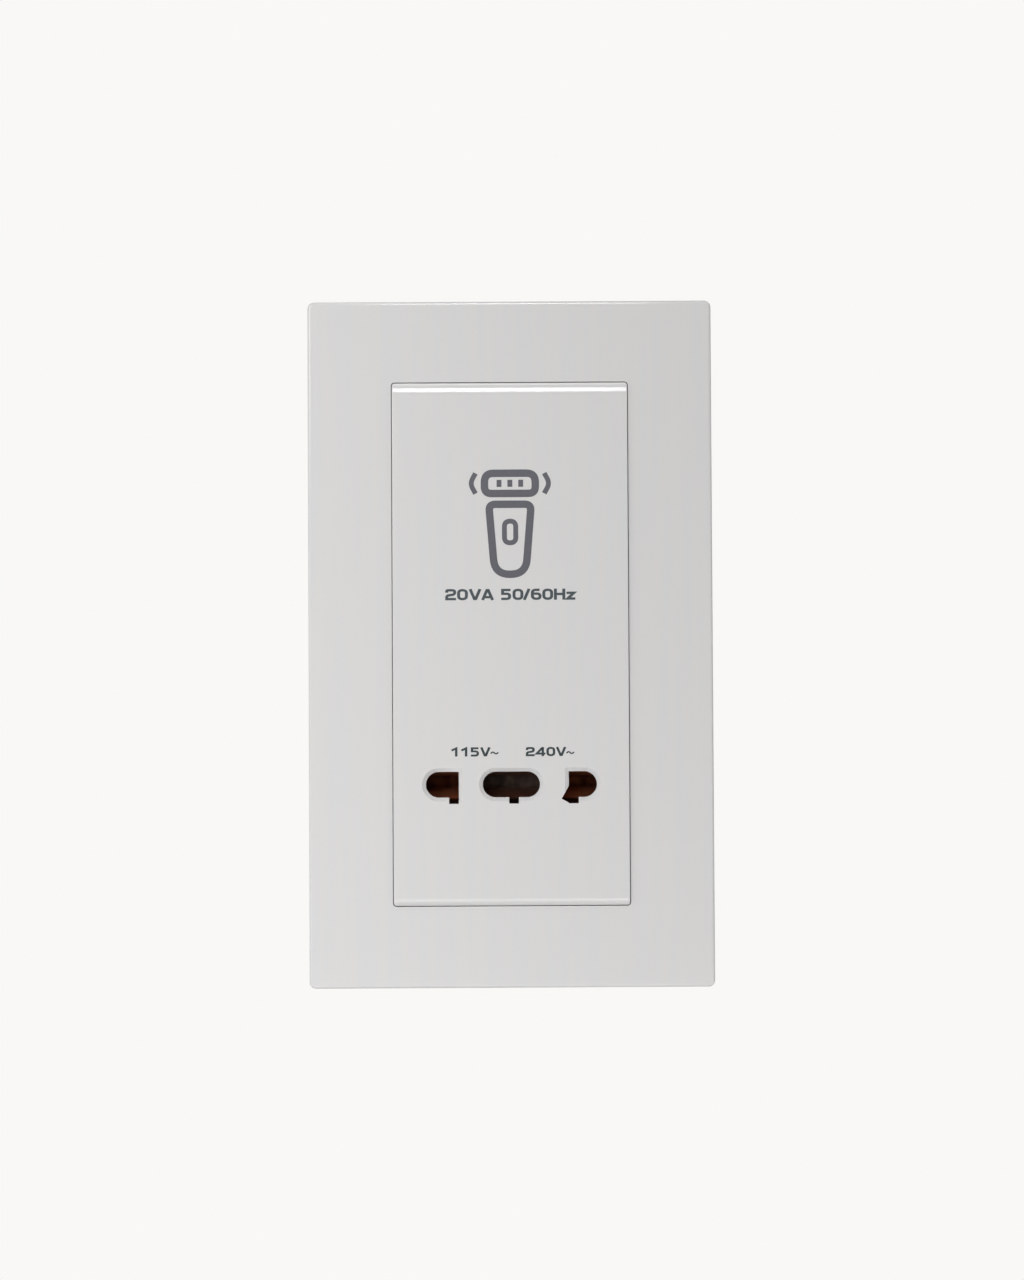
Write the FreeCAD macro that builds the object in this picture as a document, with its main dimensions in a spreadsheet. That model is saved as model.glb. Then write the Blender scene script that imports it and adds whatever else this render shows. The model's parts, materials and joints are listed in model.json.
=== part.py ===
import FreeCAD, Part
import os
import re
from math import pi, tan

import Sketcher
from FreeCAD import Vector

# Shaver socket for a twin wall box, in millimetres.
# +X is right and +Z up as seen from the room, -Y faces the room, and the wall surface is y = 0.
# "Forward" means towards the room, so a forward distance f lies at y = -f.

SIZES = {
    # Clip-on frame
    "frame_width": 86.0,
    "frame_height": 146.0,
    "frame_depth": 9.5,
    "frame_wall": 2.2,
    "frame_corner_radius": 1.4,
    "frame_edge_radius": 0.6,
    "window_clearance": 0.16,
    "window_edge_radius": 0.15,
    "window_lip_wall": 1.0,
    "window_lip_clearance": 0.2,
    "frame_rib_thickness": 1.2,
    "frame_rib_height": 2.5,
    "frame_rib_clearance": 2.4,
    "end_rib_pitch": 32.0,
    "hook_length": 12.0,
    "hook_height": 1.4,
    "hook_grip": 1.0,
    "hook_clearance": 0.1,
    "hook_rise": 36.0,
    # Front plate: raised panel and mounting flange
    "panel_width": 50.1,
    "panel_end_margin": 4.75,
    "panel_proud": 0.8,
    "panel_wall": 2.4,
    "panel_corner_radius": 0.6,
    "panel_edge_radius": 0.2,
    "panel_top_roll": 2.1,
    "panel_bottom_roll": 1.5,
    "panel_roll_drop": 0.7,
    "panel_rib_thickness": 1.2,
    "panel_rib_height": 2.0,
    "panel_rib_pitch": 15.0,
    "panel_rib_rise": 20.0,
    "flange_side_clearance": 1.3,
    "flange_thickness": 3.0,
    "flange_corner_radius": 2.0,
    "fixing_pitch": 120.6,
    "fixing_hole_radius": 2.1,
    "fixing_head_radius": 4.0,
    "fixing_head_depth": 1.2,
    "fixing_relief_clearance": 2.0,
    # Pin apertures
    "aperture_drop": 29.9,
    "aperture_height": 5.45,
    "aperture_reach": 18.15,
    "left_aperture_inner": 11.17,
    "right_aperture_inner": 12.18,
    "common_aperture_width": 12.15,
    "aperture_lead_in": 0.8,
    "blade_pitch": 12.7,
    "blade_offset": 0.55,
    "blade_slot_width": 2.05,
    "blade_slot_drop": 1.33,
    "angled_slot_tilt": 30.0,
    "angled_slot_width": 1.82,
    "angled_slot_length": 4.2,
    "angled_slot_foot": 10.63,
    "angled_slot_drop": 3.05,
    # Contact carrier and contacts
    "carrier_height": 15.0,
    "carrier_depth": 17.0,
    "carrier_wall": 1.3,
    "carrier_edge_radius": 0.5,
    "cavity_margin": 0.6,
    "cavity_height": 11.0,
    "cavity_depth": 14.5,
    "carrier_screw_pitch": 24.0,
    "carrier_post_length": 9.9,
    "carrier_post_radius": 3.0,
    "carrier_ear_width": 8.0,
    "carrier_ear_thickness": 2.5,
    "carrier_ear_radius": 3.6,
    "contact_gauge": 0.5,
    "contact_bend": 2.0,
    "contact_clearance": 0.3,
    "contact_lift": 0.3,
    "contact_grip": 2.8,
    "contact_mouth": 8.2,
    "contact_root": 3.6,
    "contact_grip_depth": 8.4,
    "contact_setback": 1.3,
    "tag_width": 4.0,
    "tag_length": 7.0,
    "tag_clearance": 0.2,
    # Transformer
    "lamination_module": 8.0,
    "core_stack": 20.0,
    "core_front": 9.0,
    "core_rise": 22.0,
    "core_hole_radius": 1.7,
    "former_wall": 1.0,
    "former_clearance": 0.2,
    "former_corner_radius": 2.0,
    "coil_overhang": 7.8,
    "coil_inset": 0.5,
    "coil_corner_radius": 3.0,
    "coil_clearance": 0.1,
    "tape_gauge": 0.4,
    "cutout_length": 16.0,
    "cutout_height": 7.0,
    "cutout_thickness": 3.4,
    "cutout_edge_radius": 1.0,
    "cutout_shift": 5.5,
    "cutout_pin_radius": 0.5,
    "cutout_pin_length": 2.0,
    # Rear housing
    "housing_wall": 1.8,
    "housing_end_margin": 7.3,
    "housing_corner_radius": 4.0,
    "housing_edge_radius": 1.2,
    "core_side_clearance": 3.2,
    "coil_rear_clearance": 1.4,
    "collar_thickness": 2.0,
    "collar_side_lip": 5.4,
    "collar_end_lip": 2.3,
    "collar_corner_radius": 3.0,
    "collar_screw_inset": 2.8,
    "collar_screw_rise": 42.0,
    "screw_boss_radius": 2.8,
    "screw_boss_clearance": 0.3,
    "core_boss_radius": 3.5,
    "vent_width": 2.0,
    "vent_length": 18.0,
    "side_vent_pitch": 5.0,
    "top_vent_pitch": 8.0,
    # Supply terminals in the stepped recess
    "step_depth": 22.0,
    "step_level": 35.0,
    "block_wall": 1.3,
    "block_height": 13.0,
    "block_depth": 15.0,
    "block_edge_radius": 0.8,
    "block_top_clearance": 1.5,
    "block_head_clearance": 0.5,
    "block_ear_depth": 5.0,
    "barrier_thickness": 1.4,
    "barrier_height": 1.4,
    "terminal_pitch": 13.0,
    "terminal_width": 7.5,
    "terminal_height": 9.0,
    "terminal_depth": 9.0,
    "terminal_clearance": 0.1,
    "terminal_edge": 0.4,
    "terminal_bore_radius": 1.9,
    "terminal_bore_setback": 5.5,
    "entry_radius": 2.2,
    "entry_funnel": 0.6,
    "tail_width": 4.0,
    "tail_gauge": 0.8,
    "tail_length": 6.0,
    "tail_rise": 2.5,
    "tail_clearance": 0.2,
    # Screws and internal leads
    "screw_radius": 1.3,
    "screw_hole_radius": 1.7,
    "screw_pilot_clearance": 0.05,
    "screw_tip_clearance": 0.4,
    "screw_head_radius": 2.6,
    "screw_head_height": 1.8,
    "screw_head_rim": 0.8,
    "screw_crown_radius": 1.6,
    "screw_recess_arm": 1.5,
    "screw_recess_width": 0.7,
    "screw_recess_depth": 1.0,
    "core_screw_radius": 1.5,
    "core_screw_grip": 6.5,
    "clamp_screw_radius": 1.5,
    "clamp_screw_head_radius": 2.4,
    "clamp_screw_head_height": 1.9,
    "clamp_screw_length": 5.0,
    "clamp_screw_lift": 0.3,
    "clamp_well_radius": 2.8,
    "lead_radius": 0.7,
    "lead_bend": 3.5,
    "lead_clearance": 0.7,
    "lead_end_inset": 1.0,
    "lead_core_drop": 5.5,
    "lead_pin_drop": 8.0,
    "lead_stand_off": 4.0,
    "lead_entry_pitch": 3.5,
    "lead_exit_pitch": 10.2,
    "lead_exit_reach": 6.0,
    "lead_carrier_rise": 2.0,
    # How far a cut runs past the face it opens
    "cut_margin": 1.0,
}

doc = FreeCAD.newDocument("shaver_socket")
sheet = doc.addObject("Spreadsheet::Sheet", "Sizes")
for row, (alias, number) in enumerate(SIZES.items(), 1):
    sheet.set(f"A{row}", alias)
    sheet.set(f"B{row}", str(number))
    sheet.setAlias(f"B{row}", alias)
doc.recompute()

# Places worked out from the sizes, as formulas in the sheet's names
PANEL_FACE = "(frame_depth + panel_proud)"
PANEL_BACK = "(frame_depth + panel_proud - panel_wall)"
PANEL_HEIGHT = "(fixing_pitch - 2 * panel_end_margin)"
WINDOW_WIDTH = "(panel_width + 2 * window_clearance)"
WINDOW_HEIGHT = f"({PANEL_HEIGHT} + 2 * window_clearance)"
FLANGE_WIDTH = "(frame_width - 2 * frame_wall - 2 * flange_side_clearance)"
FLANGE_HEIGHT = "(frame_height - 2 * frame_wall - 2 * flange_side_clearance)"
APERTURE_RADIUS = "(aperture_height / 2)"
CAVITY_FLOOR = f"(cavity_depth - {PANEL_BACK})"
CORE_CENTRE = "(core_front + core_stack / 2)"
CORE_REAR = "(core_front + core_stack)"
COIL_FRONT = "(core_front - coil_overhang)"
TAPE_FRONT = f"({COIL_FRONT} + coil_inset)"
WINDOW_BOTTOM = "(core_rise - 1.5 * lamination_module)"
CHAMBER_HEIGHT = "((3 * lamination_module - 2 * former_clearance - 3 * former_wall) / 2)"
LOWER_CHAMBER = f"({WINDOW_BOTTOM} + former_clearance + former_wall)"
UPPER_CHAMBER = f"({LOWER_CHAMBER} + {CHAMBER_HEIGHT} + former_wall)"
HOUSING_HALF_WIDTH = "(3 * lamination_module + core_side_clearance + housing_wall)"
HOUSING_HALF_HEIGHT = "(fixing_pitch / 2 - housing_end_margin)"
HOUSING_REAR = f"({CORE_REAR} + coil_overhang + coil_rear_clearance + housing_wall)"
COLLAR_SCREW_X = f"({HOUSING_HALF_WIDTH} + collar_screw_inset)"
BOSS_TOP = "(frame_depth - frame_wall - screw_boss_clearance)"
BLOCK_TOP = "(-step_level - block_top_clearance)"
BLOCK_CENTRE = f"({BLOCK_TOP} - block_height / 2)"
BLOCK_REAR = "(step_depth + block_depth)"
BLOCK_EAR_START = "(terminal_pitch + terminal_width / 2 + terminal_clearance + block_wall)"
BLOCK_SCREW_X = f"({BLOCK_EAR_START} + block_head_clearance + screw_head_radius)"
BLOCK_HALF_WIDTH = f"({BLOCK_SCREW_X} + screw_head_radius + block_head_clearance)"
BORE_Y = "(step_depth + terminal_bore_setback)"
EAR_FRONT = f"(carrier_post_length - {PANEL_BACK})"
PILOT_RADIUS = "(screw_radius + screw_pilot_clearance)"


def bound(formula):
    """The formula with each size name pointed at its cell of the sheet."""
    def cell(word):
        return f"Sizes.{word.group()}" if word.group() in SIZES else word.group()
    return re.sub(r"[a-z_]+", cell, formula)


def value(formula):
    """The formula's present number."""
    return float(sheet.evalExpression(bound(formula)))


def new_body(label):
    body = doc.addObject("PartDesign::Body", label)
    body.Label = label
    return body


def sketch_on(body, plane, offset="0", shift_x="0", shift_y="0"):
    """An empty sketch on one of the body's origin planes, moved along its normal and in its plane."""
    sketch = body.newObject("Sketcher::SketchObject", "Sketch")
    role = plane + "_Plane"
    origin_plane = next(item for item in body.Origin.OriginFeatures if item.Role == role)
    sketch.AttachmentSupport = [(origin_plane, "")]
    sketch.MapMode = "FlatFace"
    sketch.setExpression("AttachmentOffset.Base.x", bound(shift_x))
    sketch.setExpression("AttachmentOffset.Base.y", bound(shift_y))
    sketch.setExpression("AttachmentOffset.Base.z", bound(offset))
    return sketch


def tie(sketch, kind, geometry, point, formula):
    """Holds one coordinate of a point to a formula."""
    constraint = Sketcher.Constraint(kind, -1, 1, geometry, point, value(formula))
    number = sketch.addConstraint(constraint)
    sketch.setExpression(f"Constraints[{number}]", bound(formula))


def add_outline(sketch, corners):
    """A closed outline through corners given as formulas.
    A third formula in a corner makes the side that leaves it an arc of that radius, turning left."""
    points = [Vector(value(corner[0]), value(corner[1]), 0) for corner in corners]
    first = sketch.GeometryCount
    count = len(corners)
    for index, corner in enumerate(corners):
        start = points[index]
        end = points[(index + 1) % count]
        if len(corner) == 2:
            sketch.addGeometry(Part.LineSegment(start, end))
            continue
        chord = end - start
        radius = value(corner[2])
        reach = (radius ** 2 - chord.Length ** 2 / 4) ** 0.5
        centre = (start + end) / 2 + Vector(-chord.y, chord.x, 0).normalize() * reach
        circle = Part.Circle(centre, Vector(0, 0, 1), radius)
        sketch.addGeometry(Part.ArcOfCircle(circle, circle.parameter(start), circle.parameter(end)))
    for index, corner in enumerate(corners):
        following = first + (index + 1) % count
        sketch.addConstraint(Sketcher.Constraint("Coincident", first + index, 2, following, 1))
        tie(sketch, "DistanceX", first + index, 1, corner[0])
        tie(sketch, "DistanceY", first + index, 1, corner[1])
        if len(corner) == 3:
            radius = Sketcher.Constraint("Radius", first + index, value(corner[2]))
            number = sketch.addConstraint(radius)
            sketch.setExpression(f"Constraints[{number}]", bound(corner[2]))


def add_rectangle(sketch, left, right, bottom, top):
    add_outline(sketch, [(left, bottom), (right, bottom), (right, top), (left, top)])


def add_centred_rectangle(sketch, width, height, x="0", y="0"):
    half_width = f"({width}) / 2"
    half_height = f"({height}) / 2"
    add_rectangle(sketch, f"{x} - {half_width}", f"{x} + {half_width}",
                  f"{y} - {half_height}", f"{y} + {half_height}")


def add_rounded_rectangle(sketch, width, height, radius, x="0", y="0"):
    left = f"{x} - {width} / 2"
    right = f"{x} + {width} / 2"
    low = f"{y} - {height} / 2"
    high = f"{y} + {height} / 2"
    add_outline(sketch, [(f"{left} + {radius}", low), (f"{right} - {radius}", low, radius),
                         (right, f"{low} + {radius}"), (right, f"{high} - {radius}", radius),
                         (f"{right} - {radius}", high), (f"{left} + {radius}", high, radius),
                         (left, f"{high} - {radius}"), (left, f"{low} + {radius}", radius)])


def add_circle(sketch, x, y, radius):
    centre = Vector(value(x), value(y), 0)
    number = sketch.addGeometry(Part.Circle(centre, Vector(0, 0, 1), value(radius)))
    tie(sketch, "DistanceX", number, 3, x)
    tie(sketch, "DistanceY", number, 3, y)
    size = sketch.addConstraint(Sketcher.Constraint("Radius", number, value(radius)))
    sketch.setExpression(f"Constraints[{size}]", bound(radius))


def pad(body, sketch, length, reverse=False, symmetric=False):
    """Adds material along the sketch's normal, or against it."""
    feature = body.newObject("PartDesign::Pad", "Pad")
    feature.Profile = sketch
    feature.setExpression("Length", bound(length))
    feature.Reversed = reverse
    if symmetric:
        feature.SideType = "Symmetric"
    doc.recompute()
    return feature


def pocket(body, sketch, length, reverse=False, symmetric=False):
    """Takes material away against the sketch's normal, or along it, and makes sure that it did."""
    before = body.Shape.Volume
    feature = body.newObject("PartDesign::Pocket", "Pocket")
    feature.Profile = sketch
    feature.setExpression("Length", bound(length))
    feature.Reversed = reverse
    if symmetric:
        feature.SideType = "Symmetric"
    doc.recompute()
    if not feature.isValid() or feature.Shape.Volume > before - 1e-6:
        raise RuntimeError(f"{body.Label}: {feature.Name} takes nothing away")
    return feature


def repeat(body, feature, axis, length, count):
    """Copies of a feature in a row along one of the body's axes, spread over a length."""
    direction = next(item for item in body.Origin.OriginFeatures if item.Role == axis + "_Axis")
    pattern = body.newObject("PartDesign::LinearPattern", "LinearPattern")
    pattern.Originals = [feature]
    pattern.Direction = (direction, [""])
    pattern.setExpression("Length", bound(length))
    pattern.Occurrences = count
    body.Tip = pattern
    doc.recompute()
    return pattern


def runs_along(edge, axis):
    """True for a straight edge parallel to the axis."""
    if not isinstance(edge.Curve, Part.Line):
        return False
    run = edge.Vertexes[-1].Point - edge.Vertexes[0].Point
    return abs(run.dot(axis)) > 0.999 * run.Length


def lies_within(edge, x=None, y=None, z=None):
    """True for an edge whose every point lies in the spans, each a low and a high formula."""
    box = edge.BoundBox
    spans = ((x, box.XMin, box.XMax), (y, box.YMin, box.YMax), (z, box.ZMin, box.ZMax))
    slack = 0.01
    for span, low, high in spans:
        if span and not (value(span[0]) - slack < low and high < value(span[1]) + slack):
            return False
    return True


def dress(body, kind, size, chosen):
    """Rounds or chamfers the edges that the test chooses."""
    base = body.Tip
    names = [f"Edge{number}" for number, edge in enumerate(base.Shape.Edges, 1) if chosen(edge)]
    if not names:
        raise RuntimeError(f"{body.Label}: no edge to {kind.lower()}")
    feature = body.newObject(f"PartDesign::{kind}", kind)
    feature.Base = (base, names)
    feature.setExpression("Size" if kind == "Chamfer" else "Radius", bound(size))
    doc.recompute()
    if not feature.isValid():
        raise RuntimeError(f"{body.Label}: {feature.Name} failed on {len(names)} edges")
    return feature


X_AXIS = Vector(1, 0, 0)
Y_AXIS = Vector(0, 1, 0)
Z_AXIS = Vector(0, 0, 1)


def round_upright_corners(body, radius, width):
    """Rounds the corners of a plate or box of the given width that run front to back."""
    half = f"({width}) / 2"

    def at_corner(edge):
        sides = (("-" + half, "-" + half), (half, half))
        return runs_along(edge, Y_AXIS) and any(lies_within(edge, x=side) for side in sides)
    return dress(body, "Fillet", radius, at_corner)


def make_clip_on_frame():
    """Hollow frame with rounded edges, a window for the panel, ribs behind and four snap hooks."""
    body = new_body("clip_on_frame")
    sketch = sketch_on(body, "XZ")
    add_centred_rectangle(sketch, "frame_width", "frame_height")
    pad(body, sketch, "frame_depth")
    round_upright_corners(body, "frame_corner_radius", "frame_width")
    front = ("-frame_depth", "-frame_depth")
    dress(body, "Fillet", "frame_edge_radius", lambda edge: lies_within(edge, y=front))

    window = sketch_on(body, "XZ")
    add_centred_rectangle(window, WINDOW_WIDTH, WINDOW_HEIGHT)
    pocket(body, window, "frame_depth + cut_margin", reverse=True)
    round_upright_corners(body, "panel_corner_radius + window_clearance", WINDOW_WIDTH)
    opening_x = (f"-{WINDOW_WIDTH} / 2", f"{WINDOW_WIDTH} / 2")
    opening_z = (f"-{WINDOW_HEIGHT} / 2", f"{WINDOW_HEIGHT} / 2")
    dress(body, "Fillet", "window_edge_radius",
          lambda edge: lies_within(edge, x=opening_x, y=front, z=opening_z))

    lip_width = f"{WINDOW_WIDTH} + 2 * window_lip_wall"
    lip_height = f"{WINDOW_HEIGHT} + 2 * window_lip_wall"
    hollow = sketch_on(body, "XZ")
    add_centred_rectangle(hollow, "frame_width - 2 * frame_wall", "frame_height - 2 * frame_wall")
    add_centred_rectangle(hollow, lip_width, lip_height)
    pocket(body, hollow, "frame_depth - frame_wall", reverse=True)
    shortened = sketch_on(body, "XZ")
    add_centred_rectangle(shortened, f"{lip_width} + cut_margin", f"{lip_height} + cut_margin")
    pocket(body, shortened, "flange_thickness + window_lip_clearance", reverse=True)
    relief = sketch_on(body, "XZ")
    relief_width = "2 * (fixing_head_radius + fixing_relief_clearance)"
    add_centred_rectangle(relief, relief_width, f"{lip_height} + cut_margin")
    pocket(body, relief, "frame_depth - frame_wall", reverse=True)

    inside = "(frame_width / 2 - frame_wall)"
    inside_top = "(frame_height / 2 - frame_wall)"
    past_boss = "(collar_screw_rise + screw_boss_radius + frame_rib_clearance)"
    half_rib = "frame_rib_thickness / 2"
    ribs = sketch_on(body, "XZ", "frame_depth - frame_wall")
    for level in (f"-{past_boss}", "-collar_screw_rise / 2", "0", "collar_screw_rise / 2", past_boss):
        low = f"{level} - {half_rib}"
        high = f"{level} + {half_rib}"
        add_rectangle(ribs, f"({lip_width}) / 2", inside, low, high)
        add_rectangle(ribs, f"-{inside}", f"-({lip_width}) / 2", low, high)
    for place in ("-end_rib_pitch / 2", "end_rib_pitch / 2"):
        left = f"{place} - {half_rib}"
        right = f"{place} + {half_rib}"
        add_rectangle(ribs, left, right, f"({lip_height}) / 2", inside_top)
        add_rectangle(ribs, left, right, f"-{inside_top}", f"-({lip_height}) / 2")
    pad(body, ribs, "frame_rib_height", reverse=True)

    tip = f"({inside} - flange_side_clearance - hook_grip)"
    low = "-hook_clearance"
    high = "-(hook_clearance + hook_height)"
    for side in ("", "-"):
        hooks = sketch_on(body, "XY", f"{side}hook_rise")
        add_outline(hooks, [(inside, low), (inside, high), (tip, high), (tip, f"{high} / 2")])
        add_outline(hooks, [(f"-{inside}", low), (f"-{tip}", f"{high} / 2"), (f"-{tip}", high),
                            (f"-{inside}", high)])
        pad(body, hooks, "hook_length", symmetric=True)
    return body


def add_aperture_ends(sketch):
    """The round ends of the three pin apertures."""
    level = "-aperture_drop"
    outer = f"(aperture_reach - {APERTURE_RADIUS})"
    inner = f"(common_aperture_width / 2 - {APERTURE_RADIUS})"
    for place in (f"-{outer}", f"-{inner}", inner, outer):
        add_circle(sketch, place, level, APERTURE_RADIUS)


def add_aperture_bodies(sketch):
    """The straight stretches of the three pin apertures."""
    low = f"-aperture_drop - {APERTURE_RADIUS}"
    high = f"-aperture_drop + {APERTURE_RADIUS}"
    outer = f"(aperture_reach - {APERTURE_RADIUS})"
    inner = f"(common_aperture_width / 2 - {APERTURE_RADIUS})"
    add_rectangle(sketch, f"-{outer}", "-left_aperture_inner", low, high)
    add_rectangle(sketch, f"-{inner}", inner, low, high)
    add_rectangle(sketch, "right_aperture_inner", outer, low, high)


def add_blade_slots(sketch):
    """The three upright slots for flat blades, which reach below the apertures."""
    low = f"-aperture_drop - {APERTURE_RADIUS} - blade_slot_drop"
    left_end = "-left_aperture_inner"
    add_rectangle(sketch, f"{left_end} - blade_slot_width", left_end, low, "-aperture_drop")
    for place in ("blade_offset", "(blade_offset + blade_pitch)"):
        add_rectangle(sketch, f"{place} - blade_slot_width / 2", f"{place} + blade_slot_width / 2",
                      low, "-aperture_drop")


def add_angled_slot(sketch):
    """The slanted slot of the right aperture, a turned rectangle that starts at its lower corner."""
    foot = ("angled_slot_foot", "(-aperture_drop - angled_slot_drop)")
    across = ("angled_slot_width * cos(angled_slot_tilt)", "-angled_slot_width * sin(angled_slot_tilt)")
    along = ("angled_slot_length * sin(angled_slot_tilt)", "angled_slot_length * cos(angled_slot_tilt)")
    add_outline(sketch, [foot,
                         (f"{foot[0]} + {across[0]}", f"{foot[1]} + {across[1]}"),
                         (f"{foot[0]} + {across[0]} + {along[0]}", f"{foot[1]} + {across[1]} + {along[1]}"),
                         (f"{foot[0]} + {along[0]}", f"{foot[1]} + {along[1]}")])


def roll_radius(width, drop):
    """The radius of an arc that leaves a face tangent to it and lies below it by the drop at its end."""
    return f"({width} ^ 2 + {drop} ^ 2) / (2 * {drop})"


def make_front_plate():
    """Raised panel with rolled ends, pin apertures and ribs, moulded in one with the flange that is
    screwed to the box."""
    body = new_body("front_plate")
    sketch = sketch_on(body, "XZ")
    add_centred_rectangle(sketch, FLANGE_WIDTH, FLANGE_HEIGHT)
    pad(body, sketch, "flange_thickness")
    round_upright_corners(body, "flange_corner_radius", FLANGE_WIDTH)
    panel = sketch_on(body, "XZ")
    add_centred_rectangle(panel, "panel_width", PANEL_HEIGHT)
    pad(body, panel, PANEL_FACE)
    round_upright_corners(body, "panel_corner_radius", "panel_width")

    rolls = sketch_on(body, "YZ")
    half = f"{PANEL_HEIGHT} / 2"
    face = f"-{PANEL_FACE}"
    past = f"-({PANEL_FACE} + cut_margin)"
    dropped = f"({face} + panel_roll_drop)"
    top_start = f"{half} - panel_top_roll"
    bottom_start = f"-{half} + panel_bottom_roll"
    add_outline(rolls, [(dropped, half, roll_radius("panel_top_roll", "panel_roll_drop")), (face, top_start),
                        (past, top_start), (past, f"{half} + cut_margin"), (dropped, f"{half} + cut_margin")])
    add_outline(rolls, [(face, bottom_start, roll_radius("panel_bottom_roll", "panel_roll_drop")),
                        (dropped, f"-{half}"), (dropped, f"-{half} - cut_margin"),
                        (past, f"-{half} - cut_margin"), (past, bottom_start)])
    pocket(body, rolls, "panel_width + 2 * cut_margin", symmetric=True)
    dress(body, "Fillet", "panel_edge_radius",
          lambda edge: runs_along(edge, Z_AXIS) and lies_within(edge, y=(face, face)))

    hollow = sketch_on(body, "XZ")
    add_centred_rectangle(hollow, "panel_width - 2 * panel_wall", f"{PANEL_HEIGHT} - 2 * panel_wall")
    pocket(body, hollow, PANEL_BACK, reverse=True)
    rib_count = 4
    rib = sketch_on(body, "XZ", PANEL_BACK)
    first = f"(panel_rib_rise - {(rib_count - 1) / 2} * panel_rib_pitch)"
    add_centred_rectangle(rib, "panel_width - 2 * panel_wall", "panel_rib_thickness", y=first)
    lowest_rib = pad(body, rib, "panel_rib_height", reverse=True)
    repeat(body, lowest_rib, "Z", f"{rib_count - 1} * panel_rib_pitch", rib_count)

    def cut_openings(add_shapes):
        opening = sketch_on(body, "XZ", PANEL_FACE)
        add_shapes(opening)
        pocket(body, opening, "panel_wall + cut_margin")
    cut_openings(add_aperture_ends)
    cut_openings(add_aperture_bodies)
    rim = ("-(aperture_drop + aperture_height)", "-(aperture_drop - aperture_height)")
    reach = ("-aperture_reach", "aperture_reach")
    dress(body, "Fillet", "aperture_lead_in",
          lambda edge: lies_within(edge, x=reach, y=(face, face), z=rim))
    cut_openings(add_blade_slots)
    cut_openings(add_angled_slot)

    posts = sketch_on(body, "XZ", PANEL_BACK)
    pilots = sketch_on(body, "XZ", f"-{EAR_FRONT}")
    for side in ("-", "+"):
        place = f"-aperture_drop {side} carrier_screw_pitch / 2"
        add_circle(posts, "0", place, "carrier_post_radius")
        add_circle(pilots, "0", place, PILOT_RADIUS)
    pad(body, posts, "carrier_post_length", reverse=True)
    pocket(body, pilots, "carrier_post_length", reverse=True)

    bosses = sketch_on(body, "XZ", "flange_thickness")
    boss_holes = sketch_on(body, "XZ")
    for across in ("-", ""):
        for up in ("-", ""):
            add_circle(bosses, across + COLLAR_SCREW_X, f"{up}collar_screw_rise", "screw_boss_radius")
            add_circle(boss_holes, across + COLLAR_SCREW_X, f"{up}collar_screw_rise", PILOT_RADIUS)
    pad(body, bosses, f"{BOSS_TOP} - flange_thickness")
    pocket(body, boss_holes, f"{BOSS_TOP} - screw_boss_clearance", reverse=True)

    heads = sketch_on(body, "XZ", "flange_thickness")
    holes = sketch_on(body, "XZ", "flange_thickness")
    for up in ("-", ""):
        add_circle(heads, "0", f"{up}fixing_pitch / 2", "fixing_head_radius")
        add_circle(holes, "0", f"{up}fixing_pitch / 2", "fixing_hole_radius")
    pocket(body, heads, "fixing_head_depth")
    pocket(body, holes, "flange_thickness + cut_margin")

    notches = sketch_on(body, "XZ")
    edge_x = f"{FLANGE_WIDTH} / 2"
    depth = "(hook_grip + 2 * hook_clearance)"
    half_length = "(hook_length / 2 + 2 * hook_clearance)"
    for up in ("-", ""):
        low = f"{up}hook_rise - {half_length}"
        high = f"{up}hook_rise + {half_length}"
        add_rectangle(notches, f"{edge_x} - {depth}", f"{edge_x} + cut_margin", low, high)
        add_rectangle(notches, f"-{edge_x} - cut_margin", f"-{edge_x} + {depth}", low, high)
    pocket(body, notches, "hook_height + 2 * hook_clearance", reverse=True)
    return body


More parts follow.
